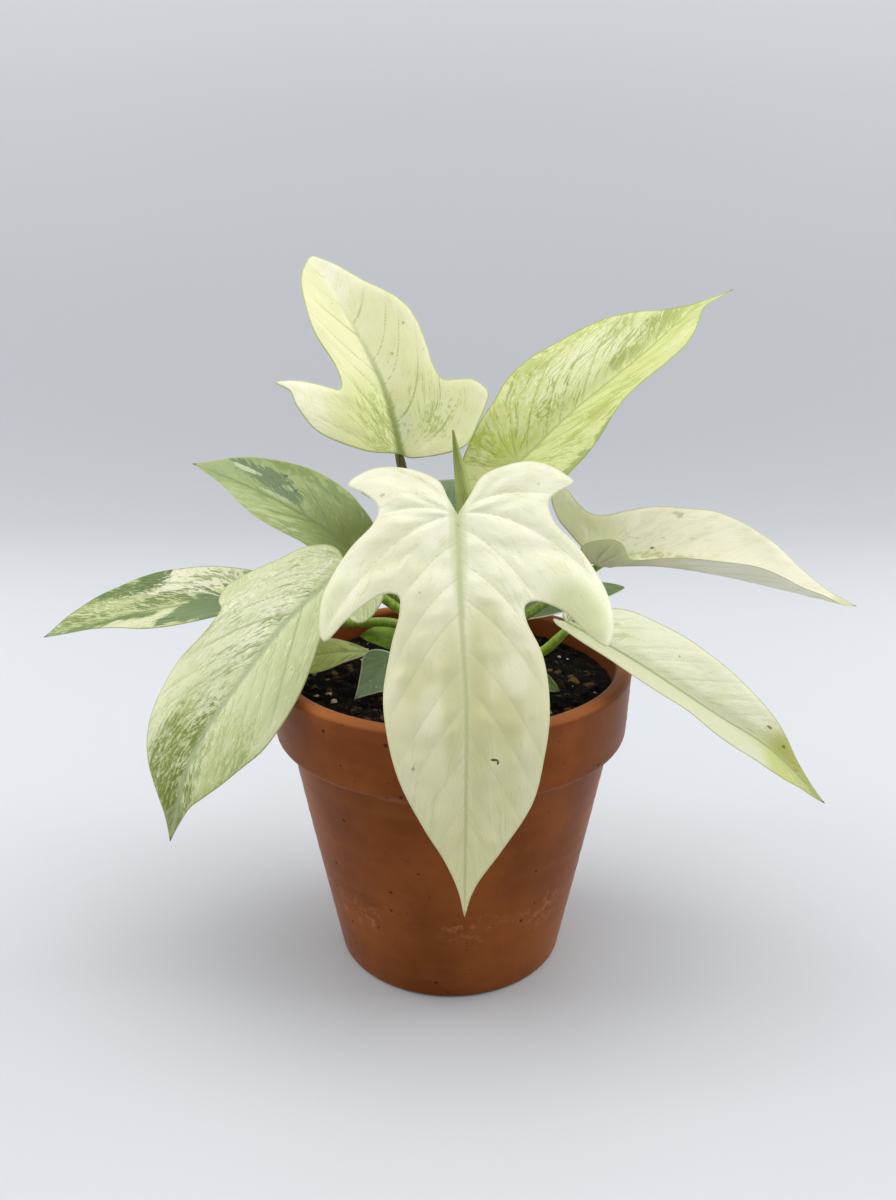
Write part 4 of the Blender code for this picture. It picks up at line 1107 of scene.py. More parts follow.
def leaf_finish(name, look, length, seed, gloss):
    """A variegated leaf: two grounds, stains and painted shade whose marks run with the veins, midrib,
    margin and specks.
    """
    finish = Finish("leaf_" + name, 0.42)
    root = finish.root
    along, across, rim = root.attribute("blade").split()
    cross, gone, near = root.attribute("grain").split()
    lower = 1 - root.attribute("upper", "Fac")
    width = abs(across)
    share = along / length
    half = (across > 0) * 9 + seed

    # Noise around 0 for each grain, stretched along the veins and drifting a little across them
    cloud = root.noise(root.vector(along * 0.07, across * 0.07, seed + 2), 1.0, 3.0) * 14 - 7
    over = cross + cloud * 0.6
    blotch = root.noise(root.vector(over * 0.22, gone * 0.085, half), 1.0, 6.0, 0.68) * 18 - 9
    fleck = root.noise(root.vector(over * 0.75, gone * 0.2, half + 4), 1.0, 5.0, 0.72) * 18 - 9
    mottle = root.noise(root.vector(over * 0.5, gone * 0.42, half + 6), 1.0, 6.0, 0.75) * 18 - 9
    swept = (over - width * share * share * 3) * 0.42
    thread = root.noise(root.vector(swept, gone * 0.03, half + 8), 1.0, 2.5)
    line = 1.0 - abs(thread - 0.5) * 60 + blotch * 0.4 + fleck * 0.3
    grains = {
        "plain": along * 0, "blotch": blotch, "fleck": fleck * 0.8 + blotch * 0.5,
        "mottle": mottle + cloud * 0.4, "line": line,
    }

    # The two grounds, then the stains over them, some of them painted shade and painted highlights
    ground = (blotch * 0.5 + fleck * 0.4 + cloud * 0.4 + (look["mix"] - 0.5) * 3).ramp(-0.9, 0.9)
    colour = root.mixed(ground, look["base"], look["tint"])
    for middle, side, reach, spread, stain_and_shade, grain, cover, soft, strength in look["stains_and_shading"]:
        level = grains[grain] + (cover * 5 - 2.5)
        if reach:
            level = level - (((along - middle) / reach) ** 2 + ((across - side) / spread) ** 2) * 4
        colour = root.mixed(level.ramp(0.0, soft) * strength, colour, stain_and_shade)

    # The veins, the midrib, the margin, the specks and the dry tip
    vein_colour, vein_share = look["vein"]
    vein = (near + fleck * 0.04).under(0.42, 0.08) * rim.ramp(0.5, 9.0) * (1 - share * 0.6) * vein_share
    colour = root.mixed(vein, colour, vein_colour)
    rib_colour, rib_wide, rib_thin, rib_share, rib_end = look["rib"]
    band = (rib_wide + (rib_thin - rib_wide) * share) * (1 + fleck * 0.08)
    rib = (width / band).under(1.7, 0.2) * (rib_share + (rib_end - rib_share) * share)
    colour = root.mixed(rib, colour, rib_colour)
    edge_colour, edge_wide, edge_share = look["edge"]
    margin = (rim + fleck * 0.03).under(edge_wide, edge_wide * 0.3) * edge_share
    colour = root.mixed(margin, colour, edge_colour)
    speck_colour, speck_share = look["specks"]
    spot, chance = root.cells(root.vector(along * 0.42, across * 0.42, seed))
    speck = spot.under(0.24, 0.10) * (chance > 1 - 0.45 * speck_share) * blotch.ramp(-0.3, 0.8)
    colour = root.mixed(speck * min(1.0, speck_share + 0.35), colour, speck_colour)
    if look["tip"]:
        colour = root.mixed(along.ramp(length - 2.2, length - 0.6) * look["tip"], colour, (86, 66, 40))

    # The underside is paler, most of all on its veins
    colour = root.mixed(lower * 0.40, colour, (228, 230, 204))
    colour = root.mixed(lower * near.under(0.7, 0.2) * 0.3, colour, (232, 234, 206))

    skin = root.noise(root.vector(along * 1.1, across * 1.1, half), 1.0, 4.0)
    height = skin + line.ramp(-1.5, 1.5) * -0.35 + near.under(0.6, 0.0) * -0.5
    rough = gloss + blotch * 0.008 + fleck * 0.01 + lower * 0.14
    finish.feed("Subsurface Weight", 0.2)
    finish.feed("Subsurface Radius", (1.0, 1.0, 0.45))
    finish.feed("Subsurface Scale", 0.001)
    return finish.done(colour, rough, root.raised(height, 0.45, 0.00015))


def clay_finish(settings):
    """Fired clay: uneven tone, a pale bloom, a line under the rim, scuffs round the front and pinholes with
    painted shade in them.
    """
    finish = Finish("terracotta", 0.12)
    root, place = finish.root, finish.place
    x, y, z = place.split()
    cloud = root.noise(place, 0.03, 4.0, 0.55)
    grain = root.noise(place, 1.1, 4.0, 0.65)
    drift = root.noise(root.vector(x * 0.03, y * 0.03, z * 0.22), 1.0, 3.0)
    dark, light = picked(settings.clay_dark), picked(settings.clay_light)
    colour = root.mixed(cloud.ramp(0.35, 0.66), dark, light)
    colour = root.mixed(drift.ramp(0.45, 0.75) * 0.14, colour, (150, 88, 54))
    colour = root.mixed(grain.ramp(0.58, 0.78) * 0.16, colour, (152, 92, 56))
    colour = root.mixed(grain.under(0.42, 0.28) * 0.20, colour, (84, 36, 10))

    bloom = root.noise(place, 0.09, 5.0, 0.7).ramp(0.60, 0.78) * z.under(60, 5) * 0.12
    colour = root.mixed(bloom, colour, (176, 120, 84))
    waved = z + (cloud - 0.5) * 0.8
    line = abs(waved - (RIM_LOW - 1.3)).under(1.3, 0.2) * root.noise(place, 0.06, 4.0).ramp(0.40, 0.64)
    colour = root.mixed(line * 0.32, colour, (172, 112, 80))
    scuff = root.noise(place, 0.3, 7.0, 0.75).ramp(0.48, 0.68)
    ring = abs(z - 39 + cloud * 14).under(10, 0) * root.noise(place, 0.05, 1.0).ramp(0.46, 0.60)
    colour = root.mixed(scuff * ring * y.under(25, 0) * 0.55, colour, (188, 126, 90))
    top = z.ramp(POT_HEIGHT - 1.8, POT_HEIGHT - 0.5)
    colour = root.mixed(top * 0.45, colour, (176, 108, 56))

    # Pinholes and tiny pits, painted dark as the shade inside them, with their hollows in the bump
    spot, chance = root.cells(place, 0.20)
    hole = (spot + (grain - 0.5) * 0.15).under(0.19, 0.09) * (chance > 0.76)
    tiny_spot, tiny_chance = root.cells(place, 0.55)
    tiny = tiny_spot.under(0.26, 0.12) * (tiny_chance > 0.92)
    colour = root.mixed(hole * 0.85 + tiny * 0.5, colour, (50, 16, 6))

    grazing = root.node("ShaderNodeLayerWeight", values={"Blend": 0.35}, output="Facing")
    finish.feed("Coat Roughness", 0.6)
    finish.feed("Coat Weight", grazing ** 2.4 * (0.95 - hole * 0.95))
    turned_line = root.noise(root.vector(x * 0.02, y * 0.02, z * 1.6), 1.0, 2.0)
    height = grain * 0.4 + turned_line * 0.3 + root.noise(place, 0.28, 3.0) * 0.8 - hole * 2.0 - tiny * 0.8
    rough = 0.52 + (grain - 0.5) * 0.25 + (cloud - 0.5) * 0.2
    return finish.done(colour, rough, root.raised(height, 0.5, 0.0002))


def soil_finish(settings):
    """Damp dark soil."""
    finish = Finish("earth", 0.2)
    root, place = finish.root, finish.place
    clod = root.noise(place, 0.35, 5.0, 0.7)
    colour = root.mixed(clod.ramp(0.4, 0.7), picked(settings.soil_dark), picked(settings.soil_light))
    colour = root.mixed(root.noise(place, 1.7, 3.0).ramp(0.62, 0.72) * 0.4, colour, (96, 72, 44))
    return finish.done(colour, 0.9, root.raised(clod + root.noise(place, 2.0, 3.0) * 0.4, 0.9, 0.0008))


def crumb_finish(name, dark, light, grainy):
    """Loose pieces on the soil. Each has its own tone from dark to light."""
    finish = Finish(name, 0.25)
    root, place = finish.root, finish.place
    tone = root.attribute("tone", "Fac")
    grain = root.noise(place, grainy, 3.0, 0.6)
    colour = root.mixed((tone * 0.8 + (grain - 0.5) * 0.9).ramp(0.05, 0.95), dark, light)
    return finish.done(colour, 0.88, root.raised(grain, 0.6, 0.0003))


def stalk_finish(name, dark, light):
    """A leaf stalk: fine lengthwise lines between two tones, paler at the foot."""
    finish = Finish("stalk_" + name, 0.4)
    root, place = finish.root, finish.place
    x, y, z = place.split()
    gone = root.attribute("gone", "Fac")
    line = root.noise(root.vector(x * 1.2, y * 1.2, z * 0.12), 1.0)
    colour = root.mixed(line.ramp(0.35, 0.68), dark, light)
    colour = root.mixed(gone.under(0.4, 0.0) * 0.4, colour, (150, 164, 84))
    colour = root.mixed(root.noise(place, 0.7, 3.0).ramp(0.64, 0.72) * 0.2, colour, (150, 165, 84))
    return finish.done(colour, 0.36, root.raised(line, 0.2, 0.0001))


def stem_finish():
    """The stem: green, corky at its rings."""
    finish = Finish("stem_skin", 0.3)
    root, place = finish.root, finish.place
    x, y, z = place.split()
    spread = root.noise(root.vector(x * 0.5, y * 0.5, z * 0.1), 1.0, 3.0)
    colour = root.mixed(spread.ramp(0.35, 0.65), (96, 120, 44), (134, 152, 70))
    ring = root.noise(root.vector(x * 0.05, y * 0.05, z * 0.7), 1.0, 3.0).ramp(0.56, 0.66)
    colour = root.mixed(ring * 0.6, colour, (128, 100, 62))
    return finish.done(colour, 0.6, root.raised(spread + ring, 0.5, 0.0004))


def spear_finish():
    """The rolled new leaf: pale green with lengthwise lines."""
    finish = Finish("new_leaf", 0.4)
    root, place = finish.root, finish.place
    turn, gone, _ = root.attribute("roll").split()
    line = root.noise(root.vector(turn * 14, gone * 2.5), 1.0, 3.0)
    colour = root.mixed(line.ramp(0.35, 0.65), (138, 154, 74), (176, 188, 112))
    colour = root.mixed(gone.ramp(0.9, 1.0) * 0.6, colour, (160, 150, 84))
    return finish.done(colour, 0.4, root.raised(line, 0.3, 0.0002))


def new_tree(name, inputs):
    """A Geometry Nodes tree with a mesh and these named inputs, and the reading of them."""
    tree = bpy.data.node_groups.new(name, "GeometryNodeTree")
    for label, kind in (("Geometry", "Geometry"), *inputs):
        tree.interface.new_socket(label, in_out="INPUT", socket_type="NodeSocket" + kind)
    tree.interface.new_socket("Geometry", in_out="OUTPUT", socket_type="NodeSocketGeometry")
    return tree, Reading(tree).node("NodeGroupInput")


def end_tree(made, finish):
    """Realizes what the tree made, gives it its material and sends it out."""
    real = made.node("GeometryNodeRealizeInstances", values={0: made})
    painted = real.node("GeometryNodeSetMaterial", values={"Geometry": real, "Material": finish})
    painted.node("NodeGroupOutput", values={0: painted})


def grown(name, base, tree, values):
    """An object with the plain mesh that a tree makes of a base mesh with these input values."""
    obj = linked(name, base)
    modifier = obj.modifiers.new(name, "NODES")
    modifier.node_group = tree
    for item in tree.interface.items_tree:
        if item.in_out == "INPUT" and item.name in values:
            modifier[item.identifier] = values[item.name]
    graph = bpy.context.evaluated_depsgraph_get()
    mesh = bpy.data.meshes.new_from_object(obj.evaluated_get(graph))
    obj.modifiers.clear()
    obj.data = mesh
    if not mesh.polygons:
        raise RuntimeError(f"{name}: nothing was made")
    return obj


def stalk_tree():
    """Turns a line of edges into a tapered stalk that is wider at its foot."""
    tree, given = new_tree("stalk", (
        ("Radius", "Float"), ("Tip Radius", "Float"), ("Foot Swell", "Float"), ("Taper", "Float"),
        ("Sides", "Int"), ("Material", "Material"),
    ))
    asked = given.other
    line = given.node("GeometryNodeMeshToCurve", values={0: asked("Geometry")})
    share = given.node("GeometryNodeSplineParameter", output="Factor")
    gone = given.node("GeometryNodeSplineParameter", output="Length")
    whole = given.node("GeometryNodeSplineLength", output="Length")
    swell = asked("Foot Swell") * (1 - share) ** 9
    tapered = ((whole - gone) / asked("Taper")).ramp(0.0, 1.0)
    rough = given.noise(given.node("GeometryNodeInputPosition"), 160.0, 2.0) * 0.06 + 0.97
    radius = asked("Tip Radius") + (asked("Radius") - asked("Tip Radius")) * tapered
    radius = radius * (1 + swell) * rough
    marked = given.node(
        "GeometryNodeStoreNamedAttribute", {"data_type": "FLOAT", "domain": "POINT"},
        {"Geometry": line, "Name": "gone", "Value": share},
    )
    circle = {"Resolution": asked("Sides"), "Radius": 1.0}
    ring = given.node("GeometryNodeCurvePrimitiveCircle", values=circle)
    tube = given.node(
        "GeometryNodeCurveToMesh",
        values={"Curve": marked, "Profile Curve": ring, "Scale": radius, "Fill Caps": True},
    )
    even = given.node("GeometryNodeSetShadeSmooth", values={"Geometry": tube, "Shade Smooth": True})
    end_tree(even, asked("Material"))
    return tree


def crumb_tree():
    """Strews lumps over a surface. Each is turned and sized at random and has a tone from 0 to 1."""
    tree, given = new_tree("crumbs", (
        ("Density", "Float"), ("Least", "Float"), ("Most", "Float"), ("Flatness", "Float"),
        ("Length", "Float"), ("Roughness", "Float"), ("Detail", "Int"), ("Sink", "Float"),
        ("Seed", "Int"), ("Material", "Material"),
    ))
    asked = given.other
    seed = asked("Seed")
    spread = given.node(
        "GeometryNodeDistributePointsOnFaces",
        values={"Mesh": asked("Geometry"), "Density": asked("Density"), "Seed": seed},
    )
    ball = {"Radius": 1.0, "Subdivisions": asked("Detail")}
    lump = given.node("GeometryNodeMeshIcoSphere", values=ball)
    rolled = {"data_type": "FLOAT"}
    size = given.node(
        "FunctionNodeRandomValue", rolled, {2: asked("Least"), 3: asked("Most"), "Seed": seed + 1}, 1
    )
    turn = given.node(
        "FunctionNodeRandomValue", {"data_type": "FLOAT_VECTOR"},
        {0: (-0.5, -0.5, 0.0), 1: (0.5, 0.5, 6.28), "Seed": seed + 2}, 0,
    )
    tone = given.node("FunctionNodeRandomValue", rolled, {2: 0.0, 3: 1.0, "Seed": seed + 3}, 1)
    scale = given.vector(size * asked("Length"), size, size * asked("Flatness"))
    strewn = given.node(
        "GeometryNodeInstanceOnPoints",
        values={"Points": spread, "Instance": lump, "Rotation": turn, "Scale": scale},
    )
    toned = given.node(
        "GeometryNodeStoreNamedAttribute", {"data_type": "FLOAT", "domain": "INSTANCE"},
        {"Geometry": strewn, "Name": "tone", "Value": tone},
    )
    real = given.node("GeometryNodeRealizeInstances", values={0: toned})
    place = given.node("GeometryNodeInputPosition")
    bumps = given.node(
        "ShaderNodeTexNoise", {"noise_dimensions": "3D"},
        {"Vector": place, "Scale": 1.2 / asked("Most"), "Detail": 2.0}, "Color",
    )
    kind = "ShaderNodeVectorMath"
    centred = given.node(kind, {"operation": "SUBTRACT"}, {0: bumps, 1: (0.5, 0.5, 0.5)})
    depth = asked("Roughness") * asked("Most") * 2.0
    pushed = given.node(kind, {"operation": "SCALE"}, {0: centred, "Scale": depth})
    down = given.vector(0.0, 0.0, asked("Sink") * -1.0)
    sunk = given.node(kind, {"operation": "ADD"}, {0: pushed, 1: down})
    shaped = given.node("GeometryNodeSetPosition", values={"Geometry": real, "Offset": sunk})
    end_tree(shaped, asked("Material"))
    return tree


def pot_profile():
    """The pot's closed outline, down its outer side and up its inner one."""
    outline = arc((RIM_RADIUS - LIP, POT_HEIGHT - LIP), (LIP, LIP), 90, 0, 10)
    under = (RIM_LOW_RADIUS - BODY_TOP_RADIUS, RIM_ROUND)
    outline += arc((BODY_TOP_RADIUS, RIM_LOW + RIM_ROUND), under, 0, -90, 12)
    outline += arc((BASE_RADIUS - BASE_ROUND, BASE_ROUND), (BASE_ROUND, BASE_ROUND), 0, -90, 6)
    outline += [(DRAIN_RADIUS + DRAIN_BEVEL, 0), (DRAIN_RADIUS, DRAIN_BEVEL), (DRAIN_RADIUS, FLOOR)]
    wall = inner_wall()
    corner = (wall[0][0] - FLOOR_ROUND, FLOOR + FLOOR_ROUND)
    outline += arc(corner, (FLOOR_ROUND, FLOOR_ROUND), -90, 0, 6)
    outline += wall[1:-1]
    outline += arc((wall[-1][0] + LIP, POT_HEIGHT - LIP), (LIP, LIP), 180, 90, 8)
    return outline


def pot_wobble(angle, height):
    """How far thrown clay strays from its circle, in mm: a slow sway and faint turning rings."""
    sway = 0.16 * np.sin(2 * angle + 0.6 + height * 0.01) + 0.08 * np.sin(5 * angle + height * 0.07)
    rings = 0.05 * np.sin(height * 1.9 + 0.5 * np.sin(angle)) + 0.04 * np.sin(height * 0.83 + 2)
    return (sway + rings) * np.clip(height / 6, 0, 1)


def soil_height(x, y):
    """The height of the soil's surface in mm: a low dome with lumps and hollows."""
    radius = np.hypot(x, y)
    rim = inner_radius(SOIL_TOP)
    high = SOIL_TOP + SOIL_DOME * np.cos(pi / 2 * np.clip(radius / rim, 0, 1))
    lumps = 0.8 * (np.sin(0.52 * x + 1.3) * np.cos(0.47 * y - 0.6) + 0.6 * np.sin(0.9 * y + 0.31 * x))
    small = np.sin(1.7 * x + 2 * np.sin(0.6 * y)) * np.cos(1.9 * y + 1.5 * np.sin(0.7 * x))
    tiny = np.sin(4.1 * x + 1.3 * y) * np.sin(3.7 * y - 1.9 * x + 1)
    away = np.clip((rim - radius) / 4, 0, 1)
    return high + (lumps + 0.45 * small + 0.22 * tiny) * (0.35 + 0.65 * away)


def stem_profile():
    """The stem's closed outline with a low ring at each joint."""
    outline = [(0, STEM_TOP)]
    for i in range(STEM_STEPS + 1):
        share = i / STEM_STEPS
        ring = STEM_SWELL * max(0.0, cos(2 * pi * STEM_JOINTS * share)) ** 3
        crown = 1 - STEM_CROWN * max(0.0, 1 - share * 8) ** 2
        outline.append(((STEM_RADIUS + ring) * crown, STEM_TOP - (STEM_TOP - STEM_FOOT) * share))
    outline.append((0, STEM_FOOT))
    return outline


def stalk_route(leaf):
    """A stalk's line: from inside the stem to the blade, then on along the underside of the midrib."""
    first = leaf["stalk"][0]
    root = (first[0] * 0.2, first[1] * 0.2, leaf["stem_z"])
    form = BladeForm(leaf)
    sinus = leaf["sinus"]
    runs = np.minimum([sinus + 6.0, sinus + 12.0], form.length * np.array([0.3, 0.5]))
    point, _, normal, _ = form.frame(np.array([sinus + STALK_REACH, *runs]))
    drops = np.array([[BLADE / 2 + STALK_GAP + STALK_TIP_RADIUS * 0.6], [1.75], [1.1]])
    line, _ = route([root, *leaf["stalk"], *(point - normal * drops)], STALK_STEPS)
    return line


class PotSettings(bpy.types.PropertyGroup):
    steps: bpy.props.IntProperty(name="Steps", description="Faces around the pot", default=192, min=48)
    clay_dark: tone("Dark clay", "The darker tone of the clay", (118, 58, 10))
    clay_light: tone("Light clay", "The lighter tone of the clay", (140, 75, 24))


class SoilSettings(bpy.types.PropertyGroup):
    soil_dark: tone("Dark soil", "The soil in its hollows", (7, 6, 5))
    soil_light: tone("Light soil", "The soil on its lumps", (24, 18, 12))
    crumbs: bpy.props.FloatProperty(
        name="Crumbs", description="Crumbs on each square metre", default=150000.0, min=0
    )
    bark: bpy.props.FloatProperty(
        name="Bark", description="Bark chips on each square metre", default=32000.0, min=0
    )
    perlite: bpy.props.FloatProperty(
        name="Perlite", description="Perlite grains on each square metre", default=7500.0, min=0
    )
    seed: bpy.props.IntProperty(name="Seed", description="Changes how the pieces are strewn", default=7)


class PlantSettings(bpy.types.PropertyGroup):
    stalk_radius: bpy.props.FloatProperty(
        name="Stalk radius", description="Half the thickness of a leaf stalk", default=0.0017,
        unit="LENGTH", subtype="DISTANCE",
    )
    grid: bpy.props.FloatProperty(
        name="Leaf grid", description="The space between a blade's points", default=0.0007,
        unit="LENGTH", subtype="DISTANCE",
    )
    relief: bpy.props.FloatProperty(
        name="Relief", description="How strongly a blade is quilted and waved", default=1.0, min=0
    )
    gloss: bpy.props.FloatProperty(
        name="Roughness", description="The roughness of the leaves", default=0.42, min=0, max=1,
        subtype="FACTOR",
    )


class StageSettings(bpy.types.PropertyGroup):
    floor_tone: tone("Floor", "The colour of the floor and of the backdrop's top", (203, 206, 209))
    # The backdrop's foot is painted darker as shade, where the bend faces away from the overhead light
    shaded_foot_tone: tone("Backdrop", "The colour of the backdrop's foot", (176, 179, 183))
    sky_light: bpy.props.FloatProperty(
        name="Soft light", description="The strength of the light from all sides", default=0.45, min=0
    )
    top_light: bpy.props.FloatProperty(
        name="Overhead light", description="The softbox above", default=10.0, unit="POWER", min=0
    )
    side_light: bpy.props.FloatProperty(
        name="Side lights", description="Each softbox beside the pot", default=6.5, unit="POWER", min=0
    )


class PLANT_OT_pot(bpy.types.Operator):
    """Turn the clay pot with its rounded rim, inner ledge and drain hole"""

    bl_idname = "plant.make_pot"
    bl_label = "Pot"

    def execute(self, context):
        settings = context.scene.plant_pot
        profile = stretched(pot_profile(), POT_STEP)
        points, faces = revolved(profile, settings.steps, pot_wobble)
        made = add_piece("clay_pot", points, faces, clay_finish(settings), "pot", 60)
        facing_out(made.data)
        return {"FINISHED"}


class PLANT_OT_soil(bpy.types.Operator):
    """Fill the pot with soil up to just under its rim"""

    bl_idname = "plant.fill_soil"
    bl_label = "Soil"

    def execute(self, context):
        settings = context.scene.plant_soil
        edge = inner_radius(SOIL_TOP) - SOIL_WALL_GAP
        top = [(r, SOIL_TOP) for r in np.linspace(0, edge, SOIL_RINGS)[::-1]]
        low = [(0, SOIL_FOOT)]
        for height in (SOIL_FOOT, 20.0, RIM_LOW - LEDGE_DROP, RIM_LOW + LEDGE_RISE):
            inset = FLOOR_ROUND if height == SOIL_FOOT else 0
            low.append((inner_radius(max(height, 12.0)) - SOIL_WALL_GAP - inset, height))
        points, faces = revolved(top + low, SOIL_SIDES, lambda angle, height: 0 * angle * height)
        shown = points[:, 2] == SOIL_TOP
        points[shown, 2] = soil_height(points[shown, 0], points[shown, 1])
        made = add_piece("potting_soil", points, faces, soil_finish(settings), "soil", 80)
        facing_out(made.data)
        return {"FINISHED"}


class PLANT_OT_grit(bpy.types.Operator):
    """Strew crumbs, bark chips and perlite over the soil"""

    bl_idname = "plant.scatter_grit"
    bl_label = "Bark and perlite"

    def execute(self, context):
        settings = context.scene.plant_soil
        tree = crumb_tree()
        points, faces = self.bed()
        densities = (settings.crumbs, settings.bark, settings.perlite)
        for order, (name, kind) in enumerate(GRIT.items()):
            least, most, sink, flat, long, detail, dark, light, grainy = kind
            values = {
                "Density": densities[order], "Least": least * MM, "Most": most * MM, "Flatness": flat,
                "Length": long, "Roughness": 0.5, "Detail": detail, "Sink": sink * MM,
                "Seed": settings.seed + order, "Material": crumb_finish(name, dark, light, grainy),
            }
            made = grown(name, mesh_of(name, points, faces=faces), tree, values)
            made.data.shade_smooth()
            made.data.set_sharp_from_angle(angle=radians(GRIT_CREASE))
            placed(made)
        return {"FINISHED"}

    def bed(self):
        """The soil's surface as squares, clear of the wall and the stem."""
        rim = inner_radius(SOIL_TOP) - GRIT_MARGIN
        side = GRIT_CELLS + 1
        grid = np.linspace(-rim, rim, side)
        x, y = np.meshgrid(grid, grid)
        points = np.stack([x, y, soil_height(x, y)], 2).reshape(-1, 3)
        away = np.hypot(points[:, 0], points[:, 1])
        free = (away < rim) & (away > STEM_RADIUS + 2)
        faces = []
        for i in range(GRIT_CELLS):
            for j in range(GRIT_CELLS):
                face = (i * side + j, i * side + j + 1, (i + 1) * side + j + 1, (i + 1) * side + j)
                if free[list(face)].all():
                    faces.append(face)
        return points, faces


class PLANT_OT_stem(bpy.types.Operator):
    """Raise the short stem with its rings"""

    bl_idname = "plant.grow_stem"
    bl_label = "Stem"

    def execute(self, context):
        points, faces = revolved(stem_profile(), STEM_SIDES, self.sway)
        made = add_piece("green_stem", points, faces, stem_finish(), "stem", 60)
        facing_out(made.data)
        return {"FINISHED"}

    def sway(self, angle, height):
        """How far the stem strays from round, in mm."""
        return 0.15 * np.sin(3 * angle + height * 0.3)


class PLANT_OT_stalks(bpy.types.Operator):
    """Grow each leaf stalk from the stem to its blade"""

    bl_idname = "plant.grow_stalks"
    bl_label = "Leaf stalks"

    def execute(self, context):
        settings = context.scene.plant_growth
        tree = stalk_tree()
        for name, leaf in LEAVES.items():
            line = stalk_route(leant(leaf))
            edges = [(i, i + 1) for i in range(STALK_STEPS)]
            values = {
                "Radius": settings.stalk_radius, "Tip Radius": 0.0005, "Foot Swell": 0.5, "Taper": 0.018,
                "Sides": 16, "Material": stalk_finish(name, *FINISH[name]["stalk"]),
            }
            piece = "petiole_" + name
            made = grown(piece, mesh_of(piece, line, edges), tree, values)
            facing_out(made.data)
            made.data.shade_smooth()
            placed(made, "stalk_" + name)
        return {"FINISHED"}


class PLANT_OT_leaves(bpy.types.Operator):
    """Spread each leaf blade with its veins, midrib and margin"""

    bl_idname = "plant.grow_leaves"
    bl_label = "Leaf blades"

    def execute(self, context):
        settings = context.scene.plant_growth
        for order, (name, leaf) in enumerate(LEAVES.items()):
            full = leant(leaf)
            _, length = route(full["midrib"], 1)
            finish = leaf_finish(name, FINISH[name], float(length), SEED_STEP * order, settings.gloss)
            grid = settings.grid / MM * (SMALL_LEAF_GRID if name.startswith("small") else 1)
            blade_piece(name, full, VEINS[name], finish, settings.relief, grid, order)
        return {"FINISHED"}


class PLANT_OT_spear(bpy.types.Operator):
    """Roll the new leaf that stands at the top of the stem"""

    bl_idname = "plant.roll_new_leaf"
    bl_label = "New leaf"

    def execute(self, context):
        path, _ = route([SPEAR_ROUTE[0], *lean(SPEAR_ROUTE[1:])], SPEAR_STEPS)
        rings, sides = len(path), SPEAR_SIDES
        share = np.linspace(0, 1, rings)
        radii = np.interp(share, np.linspace(0, 1, len(SPEAR_RADII)), SPEAR_RADII)
        ahead = unit(np.gradient(path, axis=0))
        beside = unit(np.cross(ahead, np.broadcast_to((0.0, 1.0, 0.0), ahead.shape)))
        front = np.cross(beside, ahead)
        turn = np.linspace(0, 1, sides)
        points, roll = [], []
        for i, spot in enumerate(path):
            # One turn of the roll, whose end laps a little over its start
            angle = 2 * pi * turn + 2.6 * share[i] + 3.9
            reach = radii[i] * (0.86 + 0.14 * turn)
            across = beside[i] * (np.cos(angle) * reach)[:, None]
            points.append(spot + across + front[i] * (np.sin(angle) * reach)[:, None])
            roll += [(t, share[i], 0) for t in turn]
        points = np.vstack([*points, path[:1], path[-1:]])
        roll += [(0, 0, 0), (0, 1, 0)]
        faces = bands(rings, sides, False)
        last = (rings - 1) * sides
        for k in range(sides):
            n = (k + 1) % sides
            faces.append((k, n, last + sides))
            faces.append((last + n, last + k, last + sides + 1))
        marks = (("roll", "FLOAT_VECTOR", roll),)
        made = add_piece("rolled_leaf", points, faces, spear_finish(), "spear", 45, marks)
        facing_out(made.data)
        return {"FINISHED"}


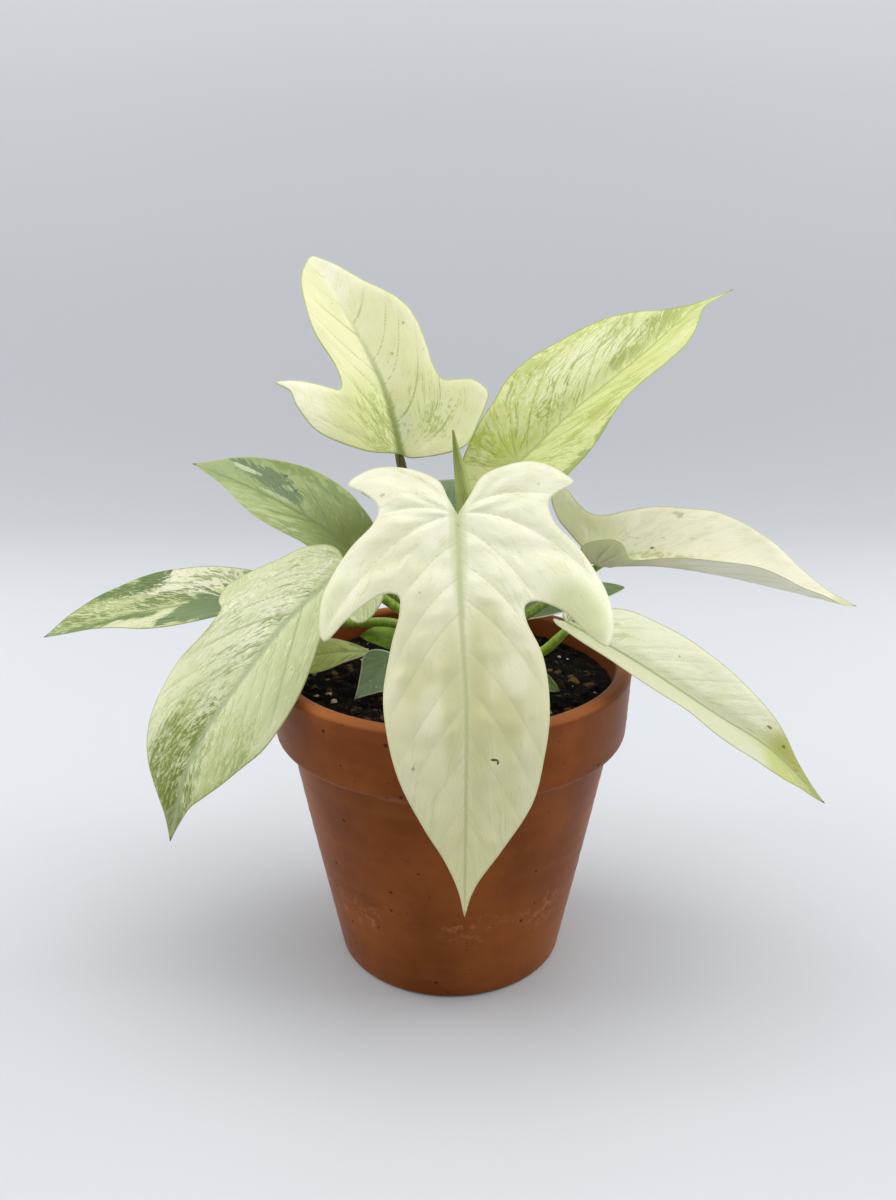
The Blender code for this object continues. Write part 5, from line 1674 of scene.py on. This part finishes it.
class PLANT_OT_stage(bpy.types.Operator):
    """Set the floor, the lights and the camera"""

    bl_idname = "plant.set_stage"
    bl_label = "Stage"

    def execute(self, context):
        settings = context.scene.plant_stage
        scene = context.scene
        scene.view_settings.view_transform = "Standard"
        self.sweep(settings)
        self.lamp("overhead", TOP_LAMP, 0, TOP_LAMP_SIZE, settings.top_light)
        for side in (-1, 1):
            place = (side * SIDE_LAMP[0], *SIDE_LAMP[1:])
            turn = side * radians(SIDE_LAMP_TURN)
            self.lamp(f"side_{side}", place, turn, SIDE_LAMP_SIZE, settings.side_light)
        world = bpy.data.worlds.new("studio")
        world.use_nodes = True
        shade = world.node_tree.nodes["Background"]
        shade.inputs["Color"].default_value = paint(SKY_COLOUR)
        shade.inputs["Strength"].default_value = settings.sky_light
        scene.world = world
        data = bpy.data.cameras.new("camera")
        data.sensor_fit = "VERTICAL"
        data.sensor_height = CAMERA_FILM
        data.lens = CAMERA_LENS
        data.clip_start = 0.01
        camera = linked("camera", data)
        camera.location = CAMERA_PLACE
        camera.rotation_euler = (radians(90 - CAMERA_TILT), 0, 0)
        scene.camera = camera
        return {"FINISHED"}

    def sweep(self, settings):
        """The floor, which curves up into a backdrop behind the plant."""
        line = [(SWEEP_FRONT, 0.0), (SWEEP_FLAT, 0.0)]
        bend = arc((SWEEP_BEND, SWEEP_RADIUS), (SWEEP_RADIUS, SWEEP_RADIUS), -90, 0, SWEEP_STEPS)
        line += [*bend, (SWEEP_BEND + SWEEP_RADIUS, SWEEP_TOP)]
        points = [(side * SWEEP_WIDTH / 2, y, z) for y, z in line for side in (-1, 1)]
        faces = [(2 * i, 2 * i + 1, 2 * i + 3, 2 * i + 2) for i in range(len(line) - 1)]
        mesh = mesh_of("floor", points, faces=faces)
        mesh.shade_smooth()
        finish = Finish("paper", 0.35)
        _, y, z = finish.place.split()
        pale, painted_shade = picked(settings.floor_tone), picked(settings.shaded_foot_tone)
        # Painted shade: darker towards the backdrop's foot, then back to the floor's tone up the backdrop
        colour = finish.root.mixed(y.ramp(330, 900), pale, painted_shade)
        colour = finish.root.mixed(z.ramp(150, 700), colour, pale)
        mesh.materials.append(finish.done(colour, 0.5))
        linked("floor", mesh)

    def lamp(self, name, place, turn, size, power):
        """A softbox that shines down, turned sideways by an angle."""
        data = bpy.data.lights.new(name, "AREA")
        data.shape = "RECTANGLE"
        data.size, data.size_y = size
        data.energy = power
        lamp = linked(name, data)
        lamp.location = place
        lamp.rotation_euler = (0, turn, 0)


class PLANT_PT_panel(bpy.types.Panel):
    """The pieces of the potted plant"""

    bl_idname = "PLANT_PT_panel"
    bl_label = "Florida ghost philodendron"
    bl_space_type = "VIEW_3D"
    bl_region_type = "UI"
    bl_category = "Plant"

    def draw(self, context):
        for group in (context.scene.plant_pot, context.scene.plant_soil,
                      context.scene.plant_growth, context.scene.plant_stage):
            box = self.layout.box()
            for name in group.__annotations__:
                box.prop(group, name)
        for operator in OPERATORS:
            self.layout.operator(operator.bl_idname)


SETTINGS = {
    "plant_pot": PotSettings,
    "plant_soil": SoilSettings,
    "plant_growth": PlantSettings,
    "plant_stage": StageSettings,
}
OPERATORS = (
    PLANT_OT_pot, PLANT_OT_soil, PLANT_OT_grit, PLANT_OT_stem, PLANT_OT_stalks, PLANT_OT_leaves,
    PLANT_OT_spear, PLANT_OT_stage,
)


def register():
    for kind in (*SETTINGS.values(), *OPERATORS, PLANT_PT_panel):
        bpy.utils.register_class(kind)
    for name, kind in SETTINGS.items():
        setattr(bpy.types.Scene, name, bpy.props.PointerProperty(type=kind))


def unregister():
    for name in SETTINGS:
        delattr(bpy.types.Scene, name)
    for kind in (PLANT_PT_panel, *OPERATORS, *SETTINGS.values()):
        bpy.utils.unregister_class(kind)


def main():
    register()
    bpy.ops.plant.make_pot()
    bpy.ops.plant.fill_soil()
    bpy.ops.plant.scatter_grit()
    bpy.ops.plant.grow_stem()
    bpy.ops.plant.grow_stalks()
    bpy.ops.plant.grow_leaves()
    bpy.ops.plant.roll_new_leaf()
    bpy.ops.plant.set_stage()


if __name__ == "__main__":
    main()
